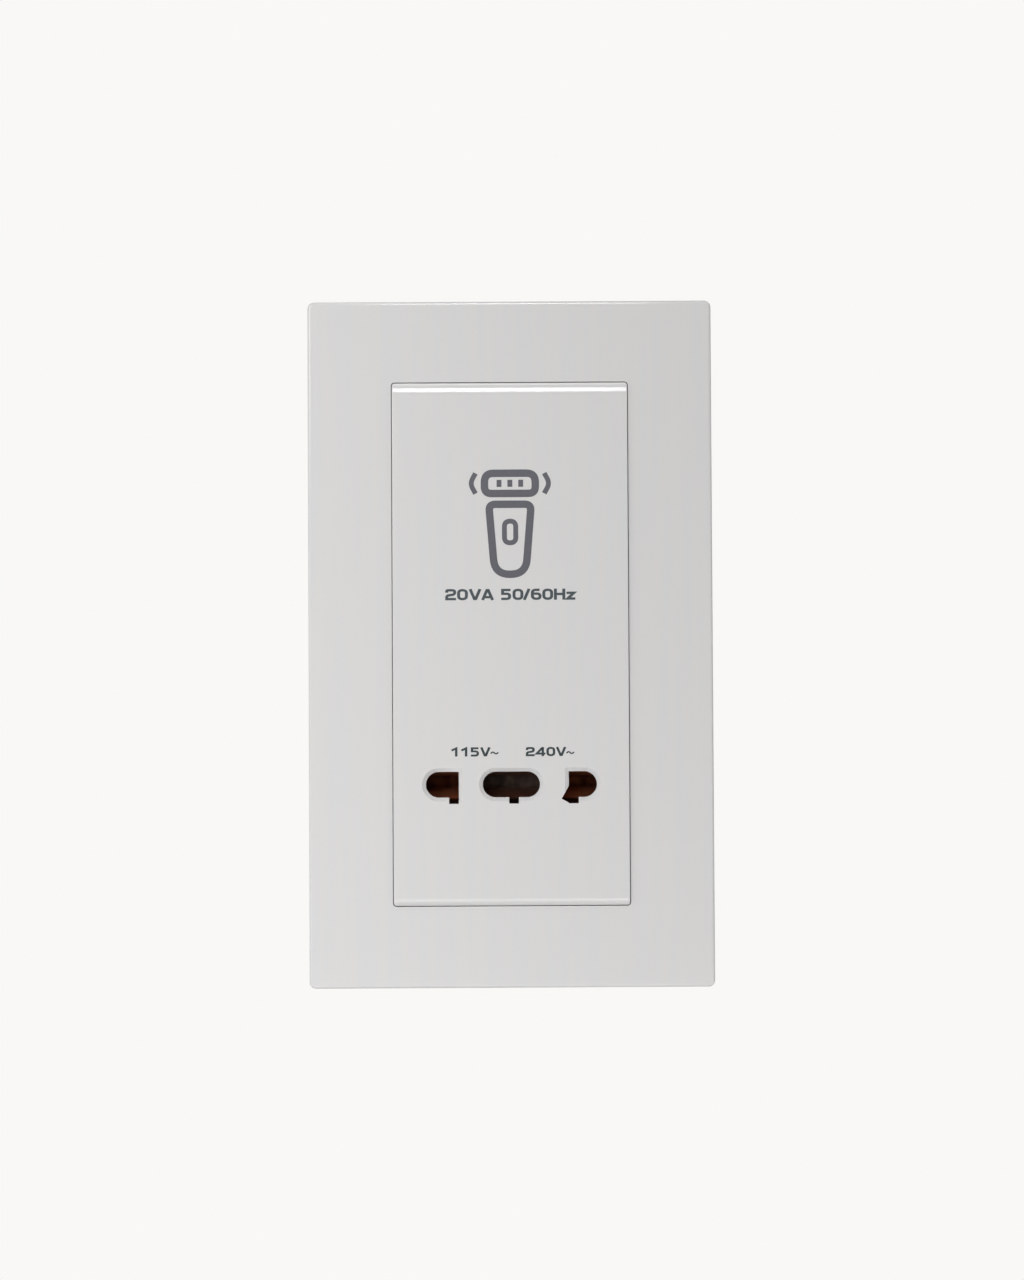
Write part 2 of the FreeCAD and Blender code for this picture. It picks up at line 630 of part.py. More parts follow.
def make_rear_housing():
    """Deep box behind the wall with a screwed collar, vents and a stepped recess for the terminals."""
    body = new_body("rear_housing")
    width = f"2 * {HOUSING_HALF_WIDTH}"
    height = f"2 * {HOUSING_HALF_HEIGHT}"
    inner_half = f"({HOUSING_HALF_WIDTH} - housing_wall)"
    inner_top = f"({HOUSING_HALF_HEIGHT} - housing_wall)"
    lower = sketch_on(body, "XZ")
    add_centred_rectangle(lower, width, height)
    pad(body, lower, "step_depth", reverse=True)
    upper = sketch_on(body, "XZ")
    add_rectangle(upper, f"-{HOUSING_HALF_WIDTH}", HOUSING_HALF_WIDTH, "-step_level", HOUSING_HALF_HEIGHT)
    pad(body, upper, HOUSING_REAR, reverse=True)
    round_upright_corners(body, "housing_corner_radius", width)
    rear = (HOUSING_REAR, HOUSING_REAR)
    ledge = ("step_depth", "step_depth")
    below = (f"-{HOUSING_HALF_HEIGHT}", "-step_level - cut_margin")
    dress(body, "Fillet", "housing_edge_radius", lambda edge: lies_within(edge, y=rear))
    dress(body, "Fillet", "housing_edge_radius", lambda edge: lies_within(edge, y=ledge, z=below))

    collar = sketch_on(body, "XZ")
    collar_width = f"2 * ({HOUSING_HALF_WIDTH} + collar_side_lip)"
    add_centred_rectangle(collar, collar_width, f"2 * ({HOUSING_HALF_HEIGHT} + collar_end_lip)")
    pad(body, collar, "collar_thickness", reverse=True)
    round_upright_corners(body, "collar_corner_radius", collar_width)

    lower_hollow = sketch_on(body, "XZ")
    add_rectangle(lower_hollow, f"-{inner_half}", inner_half, f"-{inner_top}", inner_top)
    pocket(body, lower_hollow, "step_depth - housing_wall")
    upper_hollow = sketch_on(body, "XZ")
    add_rectangle(upper_hollow, f"-{inner_half}", inner_half, "-step_level + housing_wall", inner_top)
    pocket(body, upper_hollow, f"{HOUSING_REAR} - housing_wall")

    core_bosses = sketch_on(body, "XZ", f"-({HOUSING_REAR} - housing_wall)")
    core_holes = sketch_on(body, "XZ", f"-{CORE_REAR}")
    for place_x, place_z in core_hole_places():
        add_circle(core_bosses, place_x, place_z, "core_boss_radius")
        add_circle(core_holes, place_x, place_z, "core_screw_radius + screw_pilot_clearance")
    pad(body, core_bosses, f"{HOUSING_REAR} - housing_wall - {CORE_REAR}")
    pocket(body, core_holes, "core_screw_grip + screw_tip_clearance")

    side_vent_count = 7
    vent = sketch_on(body, "YZ")
    first = f"(core_rise - {(side_vent_count - 1) / 2} * side_vent_pitch)"
    add_centred_rectangle(vent, "vent_length", "vent_width", CORE_CENTRE, first)
    side_vent = pocket(body, vent, f"{width} + 2 * cut_margin", symmetric=True)
    repeat(body, side_vent, "Z", f"{side_vent_count - 1} * side_vent_pitch", side_vent_count)
    top_vent_count = 5
    vent = sketch_on(body, "XY", HOUSING_HALF_HEIGHT)
    first = f"(-{(top_vent_count - 1) / 2} * top_vent_pitch)"
    add_centred_rectangle(vent, "vent_width", "vent_length", first, CORE_CENTRE)
    top_vent = pocket(body, vent, "housing_wall + cut_margin")
    repeat(body, top_vent, "X", f"{top_vent_count - 1} * top_vent_pitch", top_vent_count)

    collar_holes = sketch_on(body, "XZ")
    for across in ("-", ""):
        for up in ("-", ""):
            add_circle(collar_holes, across + COLLAR_SCREW_X, f"{up}collar_screw_rise", "screw_hole_radius")
    pocket(body, collar_holes, "collar_thickness + cut_margin")

    block_bosses = sketch_on(body, "XZ", "-(step_depth - housing_wall)")
    block_holes = sketch_on(body, "XZ", "-step_depth")
    for across in ("-", ""):
        add_circle(block_bosses, across + BLOCK_SCREW_X, BLOCK_CENTRE, "screw_boss_radius")
        add_circle(block_holes, across + BLOCK_SCREW_X, BLOCK_CENTRE, PILOT_RADIUS)
    pad(body, block_bosses, "block_ear_depth")
    pocket(body, block_holes, "block_ear_depth + housing_wall + cut_margin", reverse=True)
    tail_slots = sketch_on(body, "XZ", "-step_depth")
    for place in ("-terminal_pitch", "0", "terminal_pitch"):
        add_centred_rectangle(tail_slots, "tail_width + 2 * tail_clearance",
                              "tail_gauge + 2 * tail_clearance", place, f"{BLOCK_CENTRE} + tail_rise")
    pocket(body, tail_slots, "housing_wall + cut_margin", reverse=True)
    return body


def core_hole_places():
    """The four corner holes of the lamination stack."""
    return [(f"{across}2.5 * lamination_module", f"core_rise {up} 2 * lamination_module")
            for across in ("-", "") for up in ("-", "+")]


CAVITIES = {
    "contact_115v": ("(-aperture_reach - cavity_margin)", "(-left_aperture_inner + cavity_margin)"),
    "contact_common": ("(-common_aperture_width / 2 - cavity_margin)",
                       "(common_aperture_width / 2 + cavity_margin)"),
    "contact_240v": ("(angled_slot_foot - cavity_margin)", "(aperture_reach + cavity_margin)"),
}


def make_contact_carrier():
    """Phenolic block with a cavity behind each aperture, screwed to two posts of the front plate."""
    body = new_body("contact_carrier")
    front = PANEL_BACK
    block = sketch_on(body, "XZ", front)
    outside = "2 * (aperture_reach + cavity_margin + carrier_wall)"
    add_centred_rectangle(block, outside, "carrier_height", y="-aperture_drop")
    pad(body, block, "carrier_depth", reverse=True)
    dress(body, "Fillet", "carrier_edge_radius", lambda edge: runs_along(edge, Y_AXIS))
    ears = sketch_on(body, "XZ", f"-{EAR_FRONT}")
    ear_height = "carrier_screw_pitch + carrier_ear_width"
    add_centred_rectangle(ears, "carrier_ear_width", ear_height, y="-aperture_drop")
    pad(body, ears, "carrier_ear_thickness", reverse=True)
    ear_end = f"({ear_height}) / 2"
    top = (f"-aperture_drop + {ear_end}", f"-aperture_drop + {ear_end}")
    bottom = (f"-aperture_drop - {ear_end}", f"-aperture_drop - {ear_end}")
    dress(body, "Fillet", "carrier_ear_radius", lambda edge: runs_along(edge, Y_AXIS) and (
        lies_within(edge, z=top) or lies_within(edge, z=bottom)))
    cavities = sketch_on(body, "XZ", front)
    tag_slots = sketch_on(body, "XZ", front)
    for left, right in CAVITIES.values():
        add_rectangle(cavities, left, right,
                      "-aperture_drop - cavity_height / 2", "-aperture_drop + cavity_height / 2")
        add_centred_rectangle(tag_slots, "tag_width + 2 * tag_clearance",
                              "contact_gauge + 2 * tag_clearance", f"({left} + {right}) / 2",
                              "-aperture_drop")
    pocket(body, cavities, "cavity_depth")
    pocket(body, tag_slots, "carrier_depth + cut_margin")
    holes = sketch_on(body, "XZ", f"-{EAR_FRONT}")
    for up in ("-", "+"):
        add_circle(holes, "0", f"-aperture_drop {up} carrier_screw_pitch / 2", "screw_hole_radius")
    pocket(body, holes, "carrier_ear_thickness + cut_margin")
    return body


# The largest share of a straight run that one bend may take, so that two bends leave some of it straight
BEND_SHARE = 0.48


def rounded_path(points, radius):
    """A wire through the points, with tangent arcs no larger than each corner has room for."""
    edges = []
    start = points[0]
    for before, corner, after in zip(points, points[1:], points[2:]):
        inward = (before - corner).normalize()
        outward = (after - corner).normalize()
        half_turn = (-inward).getAngle(outward) / 2
        room = BEND_SHARE * min((before - corner).Length, (after - corner).Length)
        setback = min(radius * tan(half_turn), room)
        bend = setback / tan(half_turn)
        first = corner + inward * setback
        last = corner + outward * setback
        middle_direction = (inward + outward).normalize()
        to_centre = (setback ** 2 + bend ** 2) ** 0.5
        middle = corner + middle_direction * (to_centre - bend)
        edges.append(Part.LineSegment(start, first).toShape())
        edges.append(Part.Arc(first, middle, last).toShape())
        start = last
    edges.append(Part.LineSegment(start, points[-1]).toShape())
    return Part.Wire(edges)


def make_contact(label):
    """Bronze strip folded to a hairpin: two flared leaves pinch a pin, and a tag leaves the bend."""
    left, right = CAVITIES[label]
    gauge = value("contact_gauge")
    half_gauge = gauge / 2
    level = value("contact_lift - aperture_drop")
    tag_level = -value("aperture_drop")
    front = -value(PANEL_BACK) + value("contact_setback")
    grip_y = front + value("contact_grip_depth")
    web_y = value(CAVITY_FLOOR) - half_gauge
    mouth = value("contact_mouth") / 2 + half_gauge
    grip = value("contact_grip") / 2 + half_gauge
    root = value("contact_root") / 2 + half_gauge
    upper = [(front, mouth), (grip_y, grip), (web_y, root)]
    lower = [(place, -rise) for place, rise in reversed(upper)]
    low_x = value(left) + value("contact_clearance")
    width = value(right) - value("contact_clearance") - low_x
    middle_x = low_x + width / 2
    points = [Vector(low_x, place, level + rise) for place, rise in upper + lower]
    ribbon = rounded_path(points, value("contact_bend")).makeOffset2D(
        half_gauge, join=0, fill=True, openResult=True)
    other_half = rounded_path(points, value("contact_bend")).makeOffset2D(
        -half_gauge, join=0, fill=True, openResult=True)
    strip = ribbon.fuse(other_half).removeSplitter().extrude(Vector(width, 0, 0))
    tag_width = value("tag_width")
    tag = Part.makeBox(tag_width, value("tag_length") + half_gauge, gauge,
                       Vector(middle_x - tag_width / 2, web_y, tag_level - half_gauge))
    contact = doc.addObject("Part::Feature", label)
    contact.Shape = strip.fuse(tag).removeSplitter()
    contact.Placement = FreeCAD.Placement()
    return contact


def make_core_e_stack():
    """The E-shaped laminations, stacked: back and three limbs round two winding windows."""
    body = new_body("core_e_stack")
    a = "lamination_module"
    top = f"core_rise + 2.5 * {a}"
    back = f"core_rise + 1.5 * {a}"
    foot = f"core_rise - 1.5 * {a}"
    sketch = sketch_on(body, "XZ", "-core_front")
    add_outline(sketch, [(f"-3 * {a}", foot), (f"-2 * {a}", foot), (f"-2 * {a}", back), (f"-{a}", back),
                         (f"-{a}", foot), (a, foot), (a, back), (f"2 * {a}", back), (f"2 * {a}", foot),
                         (f"3 * {a}", foot), (f"3 * {a}", top), (f"-3 * {a}", top)])
    pad(body, sketch, "core_stack", reverse=True)
    add_core_holes(body, "+")
    return body


def make_core_i_stack():
    """The straight laminations that close the foot of the core."""
    body = new_body("core_i_stack")
    a = "lamination_module"
    sketch = sketch_on(body, "XZ", "-core_front")
    add_rectangle(sketch, f"-3 * {a}", f"3 * {a}", f"core_rise - 2.5 * {a}", f"core_rise - 1.5 * {a}")
    pad(body, sketch, "core_stack", reverse=True)
    add_core_holes(body, "-")
    return body


def add_core_holes(body, up):
    holes = sketch_on(body, "XZ", "-core_front")
    for across in ("-", ""):
        add_circle(holes, f"{across}2.5 * lamination_module", f"core_rise {up} 2 * lamination_module",
                   "core_hole_radius")
    pocket(body, holes, "core_stack + cut_margin")


FORMER_WIDTH = "(2 * lamination_module + 2 * former_clearance + 2 * former_wall)"
FORMER_DEPTH = "(core_stack + 2 * former_clearance + 2 * former_wall)"
COIL_WIDTH = "(4 * lamination_module - 2 * former_clearance)"
COIL_DEPTH = "(core_stack + 2 * coil_overhang)"


def make_coil_former():
    """Nylon tube round the centre limb, with three flanges that part the two windings."""
    body = new_body("coil_former")
    tube = sketch_on(body, "XY", f"{WINDOW_BOTTOM} + former_clearance")
    add_centred_rectangle(tube, FORMER_WIDTH, FORMER_DEPTH, y=CORE_CENTRE)
    pad(body, tube, "3 * lamination_module - 2 * former_clearance")
    for level in (f"{LOWER_CHAMBER} - former_wall", f"{UPPER_CHAMBER} - former_wall",
                  f"{UPPER_CHAMBER} + {CHAMBER_HEIGHT}"):
        flange = sketch_on(body, "XY", level)
        add_centred_rectangle(flange, COIL_WIDTH, COIL_DEPTH, y=CORE_CENTRE)
        pad(body, flange, "former_wall")
    side = (f"{COIL_WIDTH} / 2", f"{COIL_WIDTH} / 2")
    other_side = (f"-{COIL_WIDTH} / 2", f"-{COIL_WIDTH} / 2")
    dress(body, "Fillet", "former_corner_radius", lambda edge: runs_along(edge, Z_AXIS) and (
        lies_within(edge, x=side) or lies_within(edge, x=other_side)))
    bore = sketch_on(body, "XY", WINDOW_BOTTOM)
    add_centred_rectangle(bore, f"{FORMER_WIDTH} - 2 * former_wall", f"{FORMER_DEPTH} - 2 * former_wall",
                          y=CORE_CENTRE)
    pocket(body, bore, "4 * lamination_module", reverse=True)
    return body


def make_coil_layer(label, level, inner, outer):
    """A closed band round the former, one chamber high: a winding or the tape over it.
    Inner and outer outlines are a width, a depth and a corner radius."""
    body = new_body(label)
    band = sketch_on(body, "XY", f"{level} + coil_clearance")
    add_rounded_rectangle(band, *outer, y=CORE_CENTRE)
    add_rounded_rectangle(band, *inner, y=CORE_CENTRE)
    pad(body, band, f"{CHAMBER_HEIGHT} - 2 * coil_clearance")
    return body


def make_windings_and_tapes():
    tube = (f"({FORMER_WIDTH} + 2 * coil_clearance)", f"({FORMER_DEPTH} + 2 * coil_clearance)",
            "coil_clearance")
    copper = (f"({COIL_WIDTH} - 2 * coil_inset - 2 * tape_gauge)",
              f"({COIL_DEPTH} - 2 * coil_inset - 2 * tape_gauge)", "coil_corner_radius")
    wrapped = (f"({COIL_WIDTH} - 2 * coil_inset)", f"({COIL_DEPTH} - 2 * coil_inset)",
               "(coil_corner_radius + tape_gauge)")
    pieces = []
    for name, level in (("secondary", LOWER_CHAMBER), ("primary", UPPER_CHAMBER)):
        pieces.append(make_coil_layer(f"{name}_winding", level, tube, copper))
        pieces.append(make_coil_layer(f"{name}_tape", level, copper, wrapped))
    return pieces


CUTOUT_LEVEL = f"({UPPER_CHAMBER} + {CHAMBER_HEIGHT} / 2)"


def make_thermal_cutout():
    """Flat thermal cut-out with a wire pin at each end, lying on the primary's tape."""
    body = new_body("thermal_cutout")
    block = sketch_on(body, "XZ", f"-{TAPE_FRONT}")
    add_centred_rectangle(block, "cutout_length", "cutout_height", "-cutout_shift", CUTOUT_LEVEL)
    pad(body, block, "cutout_thickness")
    front = (f"{TAPE_FRONT} - cutout_thickness", f"{TAPE_FRONT} - cutout_thickness")
    dress(body, "Fillet", "cutout_edge_radius",
          lambda edge: runs_along(edge, Y_AXIS) or lies_within(edge, y=front))
    pins = sketch_on(body, "YZ", "-cutout_shift")
    add_circle(pins, f"{TAPE_FRONT} - cutout_thickness / 2", CUTOUT_LEVEL, "cutout_pin_radius")
    pad(body, pins, "cutout_length + 2 * cutout_pin_length", symmetric=True)
    return body


def make_terminal_block():
    """Moulded block of three terminals, with screw wells behind and conductor entries below."""
    body = new_body("terminal_block")
    block = sketch_on(body, "XZ", "-step_depth")
    add_centred_rectangle(block, f"2 * {BLOCK_HALF_WIDTH}", "block_height", y=BLOCK_CENTRE)
    pad(body, block, "block_depth", reverse=True)
    shoulders = sketch_on(body, "XZ", f"-{BLOCK_REAR}")
    past = f"({BLOCK_HALF_WIDTH} + cut_margin)"
    low = f"{BLOCK_CENTRE} - block_height / 2 - cut_margin"
    high = f"{BLOCK_TOP} + cut_margin"
    add_rectangle(shoulders, BLOCK_EAR_START, past, low, high)
    add_rectangle(shoulders, f"-{past}", f"-{BLOCK_EAR_START}", low, high)
    pocket(body, shoulders, "block_depth - block_ear_depth", reverse=True)
    rear = (BLOCK_REAR, BLOCK_REAR)
    dress(body, "Fillet", "block_edge_radius", lambda edge: lies_within(edge, y=rear))
    barriers = sketch_on(body, "XZ", f"-{BLOCK_REAR}")
    for across in ("-", ""):
        add_centred_rectangle(barriers, "barrier_thickness", "block_height - 2 * block_edge_radius",
                              f"{across}terminal_pitch / 2", BLOCK_CENTRE)
    pad(body, barriers, "barrier_height", reverse=True)
    cavities = sketch_on(body, "XZ", "-step_depth")
    wells = sketch_on(body, "XZ", f"-{BLOCK_REAR}")
    entries = sketch_on(body, "XY", f"{BLOCK_TOP} - block_height")
    for place in TERMINALS.values():
        add_centred_rectangle(cavities, "terminal_width + 2 * terminal_clearance",
                              "terminal_height + 2 * terminal_clearance", place, BLOCK_CENTRE)
        add_circle(wells, place, BLOCK_CENTRE, "clamp_well_radius")
        add_circle(entries, place, BORE_Y, "entry_radius")
    pocket(body, cavities, "terminal_depth + terminal_clearance")
    pocket(body, wells, "block_depth - terminal_depth", reverse=True)
    pocket(body, entries, "block_height / 2", reverse=True)
    bottom = (f"{BLOCK_TOP} - block_height", f"{BLOCK_TOP} - block_height")
    dress(body, "Chamfer", "entry_funnel", lambda edge: isinstance(edge.Curve, Part.Circle) and (
        lies_within(edge, z=bottom)))
    holes = sketch_on(body, "XZ", "-step_depth")
    for across in ("-", ""):
        add_circle(holes, across + BLOCK_SCREW_X, BLOCK_CENTRE, "screw_hole_radius")
    pocket(body, holes, "block_ear_depth + cut_margin")
    return body


TERMINALS = {"terminal_live": "-terminal_pitch", "terminal_earth": "0", "terminal_neutral": "terminal_pitch"}


def make_terminal(label):
    """Brass terminal with a conductor bore from below, a tapped hole from behind and a solder tail."""
    place = TERMINALS[label]
    body = new_body(label)
    block = sketch_on(body, "XZ", "-step_depth")
    add_centred_rectangle(block, "terminal_width", "terminal_height", place, BLOCK_CENTRE)
    pad(body, block, "terminal_depth", reverse=True)
    dress(body, "Chamfer", "terminal_edge", lambda edge: runs_along(edge, Y_AXIS))
    bore = sketch_on(body, "XY", f"{BLOCK_CENTRE} - terminal_height / 2")
    add_circle(bore, place, BORE_Y, "terminal_bore_radius")
    pocket(body, bore, "terminal_height + cut_margin", reverse=True)
    tapped = sketch_on(body, "XZ", "-(step_depth + terminal_depth)")
    add_circle(tapped, place, BLOCK_CENTRE, "clamp_screw_radius + screw_pilot_clearance")
    pocket(body, tapped, "terminal_depth - terminal_bore_setback", reverse=True)
    tail = sketch_on(body, "XZ", "-step_depth")
    add_centred_rectangle(tail, "tail_width", "tail_gauge", place, f"{BLOCK_CENTRE} + tail_rise")
    pad(body, tail, "tail_length")
    return body


def make_screws(label, x, seat, z, radius, length, head_radius, head_height, row=None, column=None, facing=1):
    """Pan-head screws with a cross recess. The head seats at y = seat and faces the rear, or the room
    where facing is -1. A row or a column is a spread along X or Z with a number of screws."""
    body = new_body(label)
    flip = "" if facing > 0 else "-1 * "
    profile = sketch_on(body, "XY", z, x, seat)
    crown = f"{flip}{head_height}"
    rim = f"{flip}screw_head_rim"
    taper = f"({length} - {radius})"
    add_outline(profile, [("0", crown), ("0", f"{flip}(-{length})"), (f"{radius} / 2", f"{flip}(-{length})"),
                          (radius, f"{flip}(-{taper})"), (radius, "0"), (head_radius, "0"),
                          (head_radius, rim), ("screw_crown_radius", crown)])
    turned = body.newObject("PartDesign::Revolution", "Revolution")
    turned.Profile = profile
    turned.ReferenceAxis = (profile, ["V_Axis"])
    turned.Angle = 360
    doc.recompute()
    recess = sketch_on(body, "XZ", f"-({seat} + {crown})", x, z)
    arm = "screw_recess_arm"
    half = "screw_recess_width / 2"
    add_outline(recess, [(f"-{half}", f"-{arm}"), (half, f"-{arm}"), (half, f"-{half}"), (arm, f"-{half}"),
                         (arm, half), (half, half), (half, arm), (f"-{half}", arm), (f"-{half}", half),
                         (f"-{arm}", half), (f"-{arm}", f"-{half}"), (f"-{half}", f"-{half}")])
    pocket(body, recess, "screw_recess_depth", reverse=facing > 0)
    return spread(body, label, row, column)


def spread(body, label, row, column):
    """One group of separate copies of a body along X, then along Z."""
    steps = [Vector()]
    for along, axis in ((row, X_AXIS), (column, Z_AXIS)):
        if along:
            length = value(along[0])
            count = along[1]
            steps = [step + axis * (length * index / (count - 1)) for step in steps for index in range(count)]
    body.Label = label + "_pattern"
    group = doc.addObject("Part::Feature", label)
    group.Shape = Part.makeCompound([body.Shape.translated(step) for step in steps])
    group.Placement = FreeCAD.Placement()
    group.Label = label
    return group


def make_all_screws():
    head = ("screw_head_radius", "screw_head_height")
    clamp_head = ("clamp_screw_head_radius", "clamp_screw_head_height")
    pilot_end = f"({BOSS_TOP} - screw_boss_clearance)"
    return [
        make_screws("housing_screws", f"-{COLLAR_SCREW_X}", "collar_thickness", "-collar_screw_rise",
                    "screw_radius", f"(collar_thickness + {pilot_end} - screw_tip_clearance)", *head,
                    row=(f"2 * {COLLAR_SCREW_X}", 2), column=("2 * collar_screw_rise", 2)),
        make_screws("carrier_screws", "0", f"({EAR_FRONT} + carrier_ear_thickness)",
                    "(-aperture_drop - carrier_screw_pitch / 2)", "screw_radius",
                    "(carrier_ear_thickness + carrier_post_length - screw_tip_clearance - panel_wall)", *head,
                    column=("carrier_screw_pitch", 2)),
        make_screws("core_screws", "(-2.5 * lamination_module)", "core_front",
                    "(core_rise - 2 * lamination_module)", "core_screw_radius",
                    "(core_stack + core_screw_grip)", *head,
                    row=("5 * lamination_module", 2), column=("4 * lamination_module", 2), facing=-1),
        make_screws("terminal_block_screws", f"-{BLOCK_SCREW_X}", "(step_depth + block_ear_depth)",
                    BLOCK_CENTRE, "screw_radius", "(2 * block_ear_depth + housing_wall - screw_tip_clearance)",
                    *head, row=(f"2 * {BLOCK_SCREW_X}", 2)),
        make_screws("clamp_screws", "(-terminal_pitch)",
                    f"({BORE_Y} + terminal_bore_radius + clamp_screw_lift + clamp_screw_length)",
                    BLOCK_CENTRE, "clamp_screw_radius", "clamp_screw_length", *clamp_head,
                    row=("2 * terminal_pitch", 3)),
    ]


# How far a lead's volume may lie from its section times its length
TUBE_TOLERANCE = 0.01


def make_lead(label, points):
    """An insulated lead along straight runs and tangent arcs."""
    radius = value("lead_radius")
    path = rounded_path(points, value("lead_bend"))
    start = points[0]
    section = Part.Wire(Part.Circle(start, points[1] - start, radius).toShape())
    lead = doc.addObject("Part::Feature", label)
    lead.Shape = path.makePipeShell([section], True, False)
    lead.Placement = FreeCAD.Placement()
    lead.Label = label
    volume = pi * radius ** 2 * path.Length
    if abs(lead.Shape.Volume / volume - 1) > TUBE_TOLERANCE:
        raise RuntimeError(f"{label}: the tube's volume is not its section times its length")
    return lead


def make_leads():
    """Leads from the terminals to the primary, and from the secondary to the contacts."""
    pieces = []
    tail_y = value("step_depth - tail_length + lead_end_inset")
    tail_top = value(f"{BLOCK_CENTRE} + tail_rise + tail_gauge / 2")
    limb_x = value("2.5 * lamination_module")
    before_core = value("core_front - screw_head_height - lead_radius - lead_clearance")
    pin_y = value(f"{TAPE_FRONT} - cutout_thickness / 2")
    pin_level = value(CUTOUT_LEVEL)
    below_pin = pin_level - value("lead_pin_drop")
    pin_reach = value("cutout_length / 2 + cutout_pin_length")
    shift = value("cutout_shift")
    tape = value(TAPE_FRONT)
    stand_off = value("lead_stand_off")
    side = value("terminal_pitch")
    above_carrier = value("-aperture_drop + carrier_height / 2 + lead_radius + lead_clearance")
    below_core = value("core_rise - 2.5 * lamination_module - lead_core_drop")

    def up_from_tail(x):
        across = limb_x if x > 0 else -limb_x
        return [Vector(x, tail_y, tail_top), Vector(x, tail_y, above_carrier),
                Vector(across, before_core, below_core), Vector(across, before_core, below_pin)]

    pieces.append(make_lead("lead_live", up_from_tail(-side) + [
        Vector(-limb_x, pin_y, pin_level), Vector(-shift - pin_reach, pin_y, pin_level)]))
    link_x = pin_reach - shift
    turn_x = link_x + stand_off
    pieces.append(make_lead("lead_cutout", [
        Vector(link_x, pin_y, pin_level), Vector(turn_x, pin_y, pin_level), Vector(turn_x, tape, pin_level)]))
    entry_x = turn_x + value("lead_entry_pitch")
    pieces.append(make_lead("lead_neutral", up_from_tail(side) + [
        Vector(limb_x, tape - stand_off, pin_level), Vector(entry_x, tape - stand_off, pin_level),
        Vector(entry_x, tape, pin_level)]))
    exit_level = value(f"{LOWER_CHAMBER} + {CHAMBER_HEIGHT} / 2")
    exit_y = tape - value("lead_exit_reach")
    exit_pitch = value("lead_exit_pitch")
    tag_y = value(f"{CAVITY_FLOOR} + tag_length - lead_end_inset")
    tag_top = value("-aperture_drop + contact_gauge / 2")
    above_tag = above_carrier + value("lead_carrier_rise")
    for tap, exit_x in (("115v", -exit_pitch), ("common", 0), ("240v", exit_pitch)):
        left, right = CAVITIES[f"contact_{tap}"]
        tag_x = value(f"({left} + {right}) / 2")
        pieces.append(make_lead(f"lead_{tap}", [
            Vector(exit_x, tape, exit_level), Vector(exit_x, exit_y, exit_level),
            Vector(exit_x, exit_y, below_core), Vector(tag_x, tag_y, above_tag),
            Vector(tag_x, tag_y, tag_top)]))
    return pieces


sub_parts = [make_clip_on_frame(), make_front_plate(), make_rear_housing(), make_contact_carrier()]
sub_parts += [make_contact(label) for label in CAVITIES]
sub_parts += [make_core_e_stack(), make_core_i_stack(), make_coil_former()]
sub_parts += make_windings_and_tapes()
sub_parts += [make_thermal_cutout(), make_terminal_block()]
sub_parts += [make_terminal(label) for label in TERMINALS]
sub_parts += make_all_screws()
sub_parts += make_leads()

doc.recompute()
for item in doc.Objects:
    if "Invalid" in item.State or "Error" in item.State:
        raise RuntimeError(f"{item.Label} failed: {item.State}")
for part in sub_parts:
    if part.Shape.isNull() or not part.Shape.isValid():
        raise RuntimeError(f"{part.Label} has no valid shape")

os.makedirs("parts", exist_ok=True)
for part in sub_parts:
    part.Shape.exportStep(f"parts/{part.Label}.step")
    print(f"{part.Label}: {len(part.Shape.Solids)} solid, {part.Shape.Volume:.1f} mm3")
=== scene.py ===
import json
from math import pi, radians

import bpy
import numpy as np
from mathutils import Matrix, Vector


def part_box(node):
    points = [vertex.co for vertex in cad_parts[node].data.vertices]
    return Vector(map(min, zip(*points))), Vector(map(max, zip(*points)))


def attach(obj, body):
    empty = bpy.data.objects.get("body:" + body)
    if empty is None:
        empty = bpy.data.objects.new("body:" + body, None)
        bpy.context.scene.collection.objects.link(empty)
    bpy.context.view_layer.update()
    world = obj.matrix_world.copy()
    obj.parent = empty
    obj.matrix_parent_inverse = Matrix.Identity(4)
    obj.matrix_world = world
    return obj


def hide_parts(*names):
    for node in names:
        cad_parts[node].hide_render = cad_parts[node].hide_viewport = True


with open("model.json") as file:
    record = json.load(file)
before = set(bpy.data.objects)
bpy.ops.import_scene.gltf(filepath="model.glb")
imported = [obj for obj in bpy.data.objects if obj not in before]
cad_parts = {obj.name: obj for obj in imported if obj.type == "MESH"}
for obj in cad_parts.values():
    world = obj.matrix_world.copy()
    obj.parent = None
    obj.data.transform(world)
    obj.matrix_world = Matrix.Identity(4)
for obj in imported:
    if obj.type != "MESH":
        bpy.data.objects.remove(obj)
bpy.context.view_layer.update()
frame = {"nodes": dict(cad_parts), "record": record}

# The shaver socket's looks: finishes for every moulded, rolled and wound piece, the print on the panel and
# the raised marks at the terminals. Metres; +X right and +Z up as seen from the room, which lies towards -Y.

MM = 0.001

# Places taken from the frame. Barriers stand behind the flat back of the terminal block.
PANEL_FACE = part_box("front_plate")[0].y
FRAME_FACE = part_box("clip_on_frame")[0].y
BARRIER_HEIGHT = 1.4 * MM
BLOCK_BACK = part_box("terminal_block")[1].y - BARRIER_HEIGHT
BLOCK_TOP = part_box("terminal_block")[1].z


# Colours, nodes and materials

def linear(code):
    """An sRGB hex colour as linear red, green, blue and a full alpha: parts up to 0.04045 are divided by
    12.92, and the others are ((part + 0.055) / 1.055) ^ 2.4."""
    part = np.array([int(code[i:i + 2], 16) for i in (0, 2, 4)]) / 255
    low, high = part / 12.92, ((part + 0.055) / 1.055) ** 2.4
    return (*np.where(part <= 0.04045, low, high).tolist(), 1.0)


def repeats(size):
    """The texture scale at which a pattern's features are about this many millimetres across."""
    return 1 / (size * MM)


# Radians that the wave texture runs through in a metre at scale 1
WAVE_RADIANS = 20


def bands(pitch):
    """The wave texture's scale for bands this many millimetres apart: a band takes 2 pi radians."""
    return 2 * pi / WAVE_RADIANS / (pitch * MM)


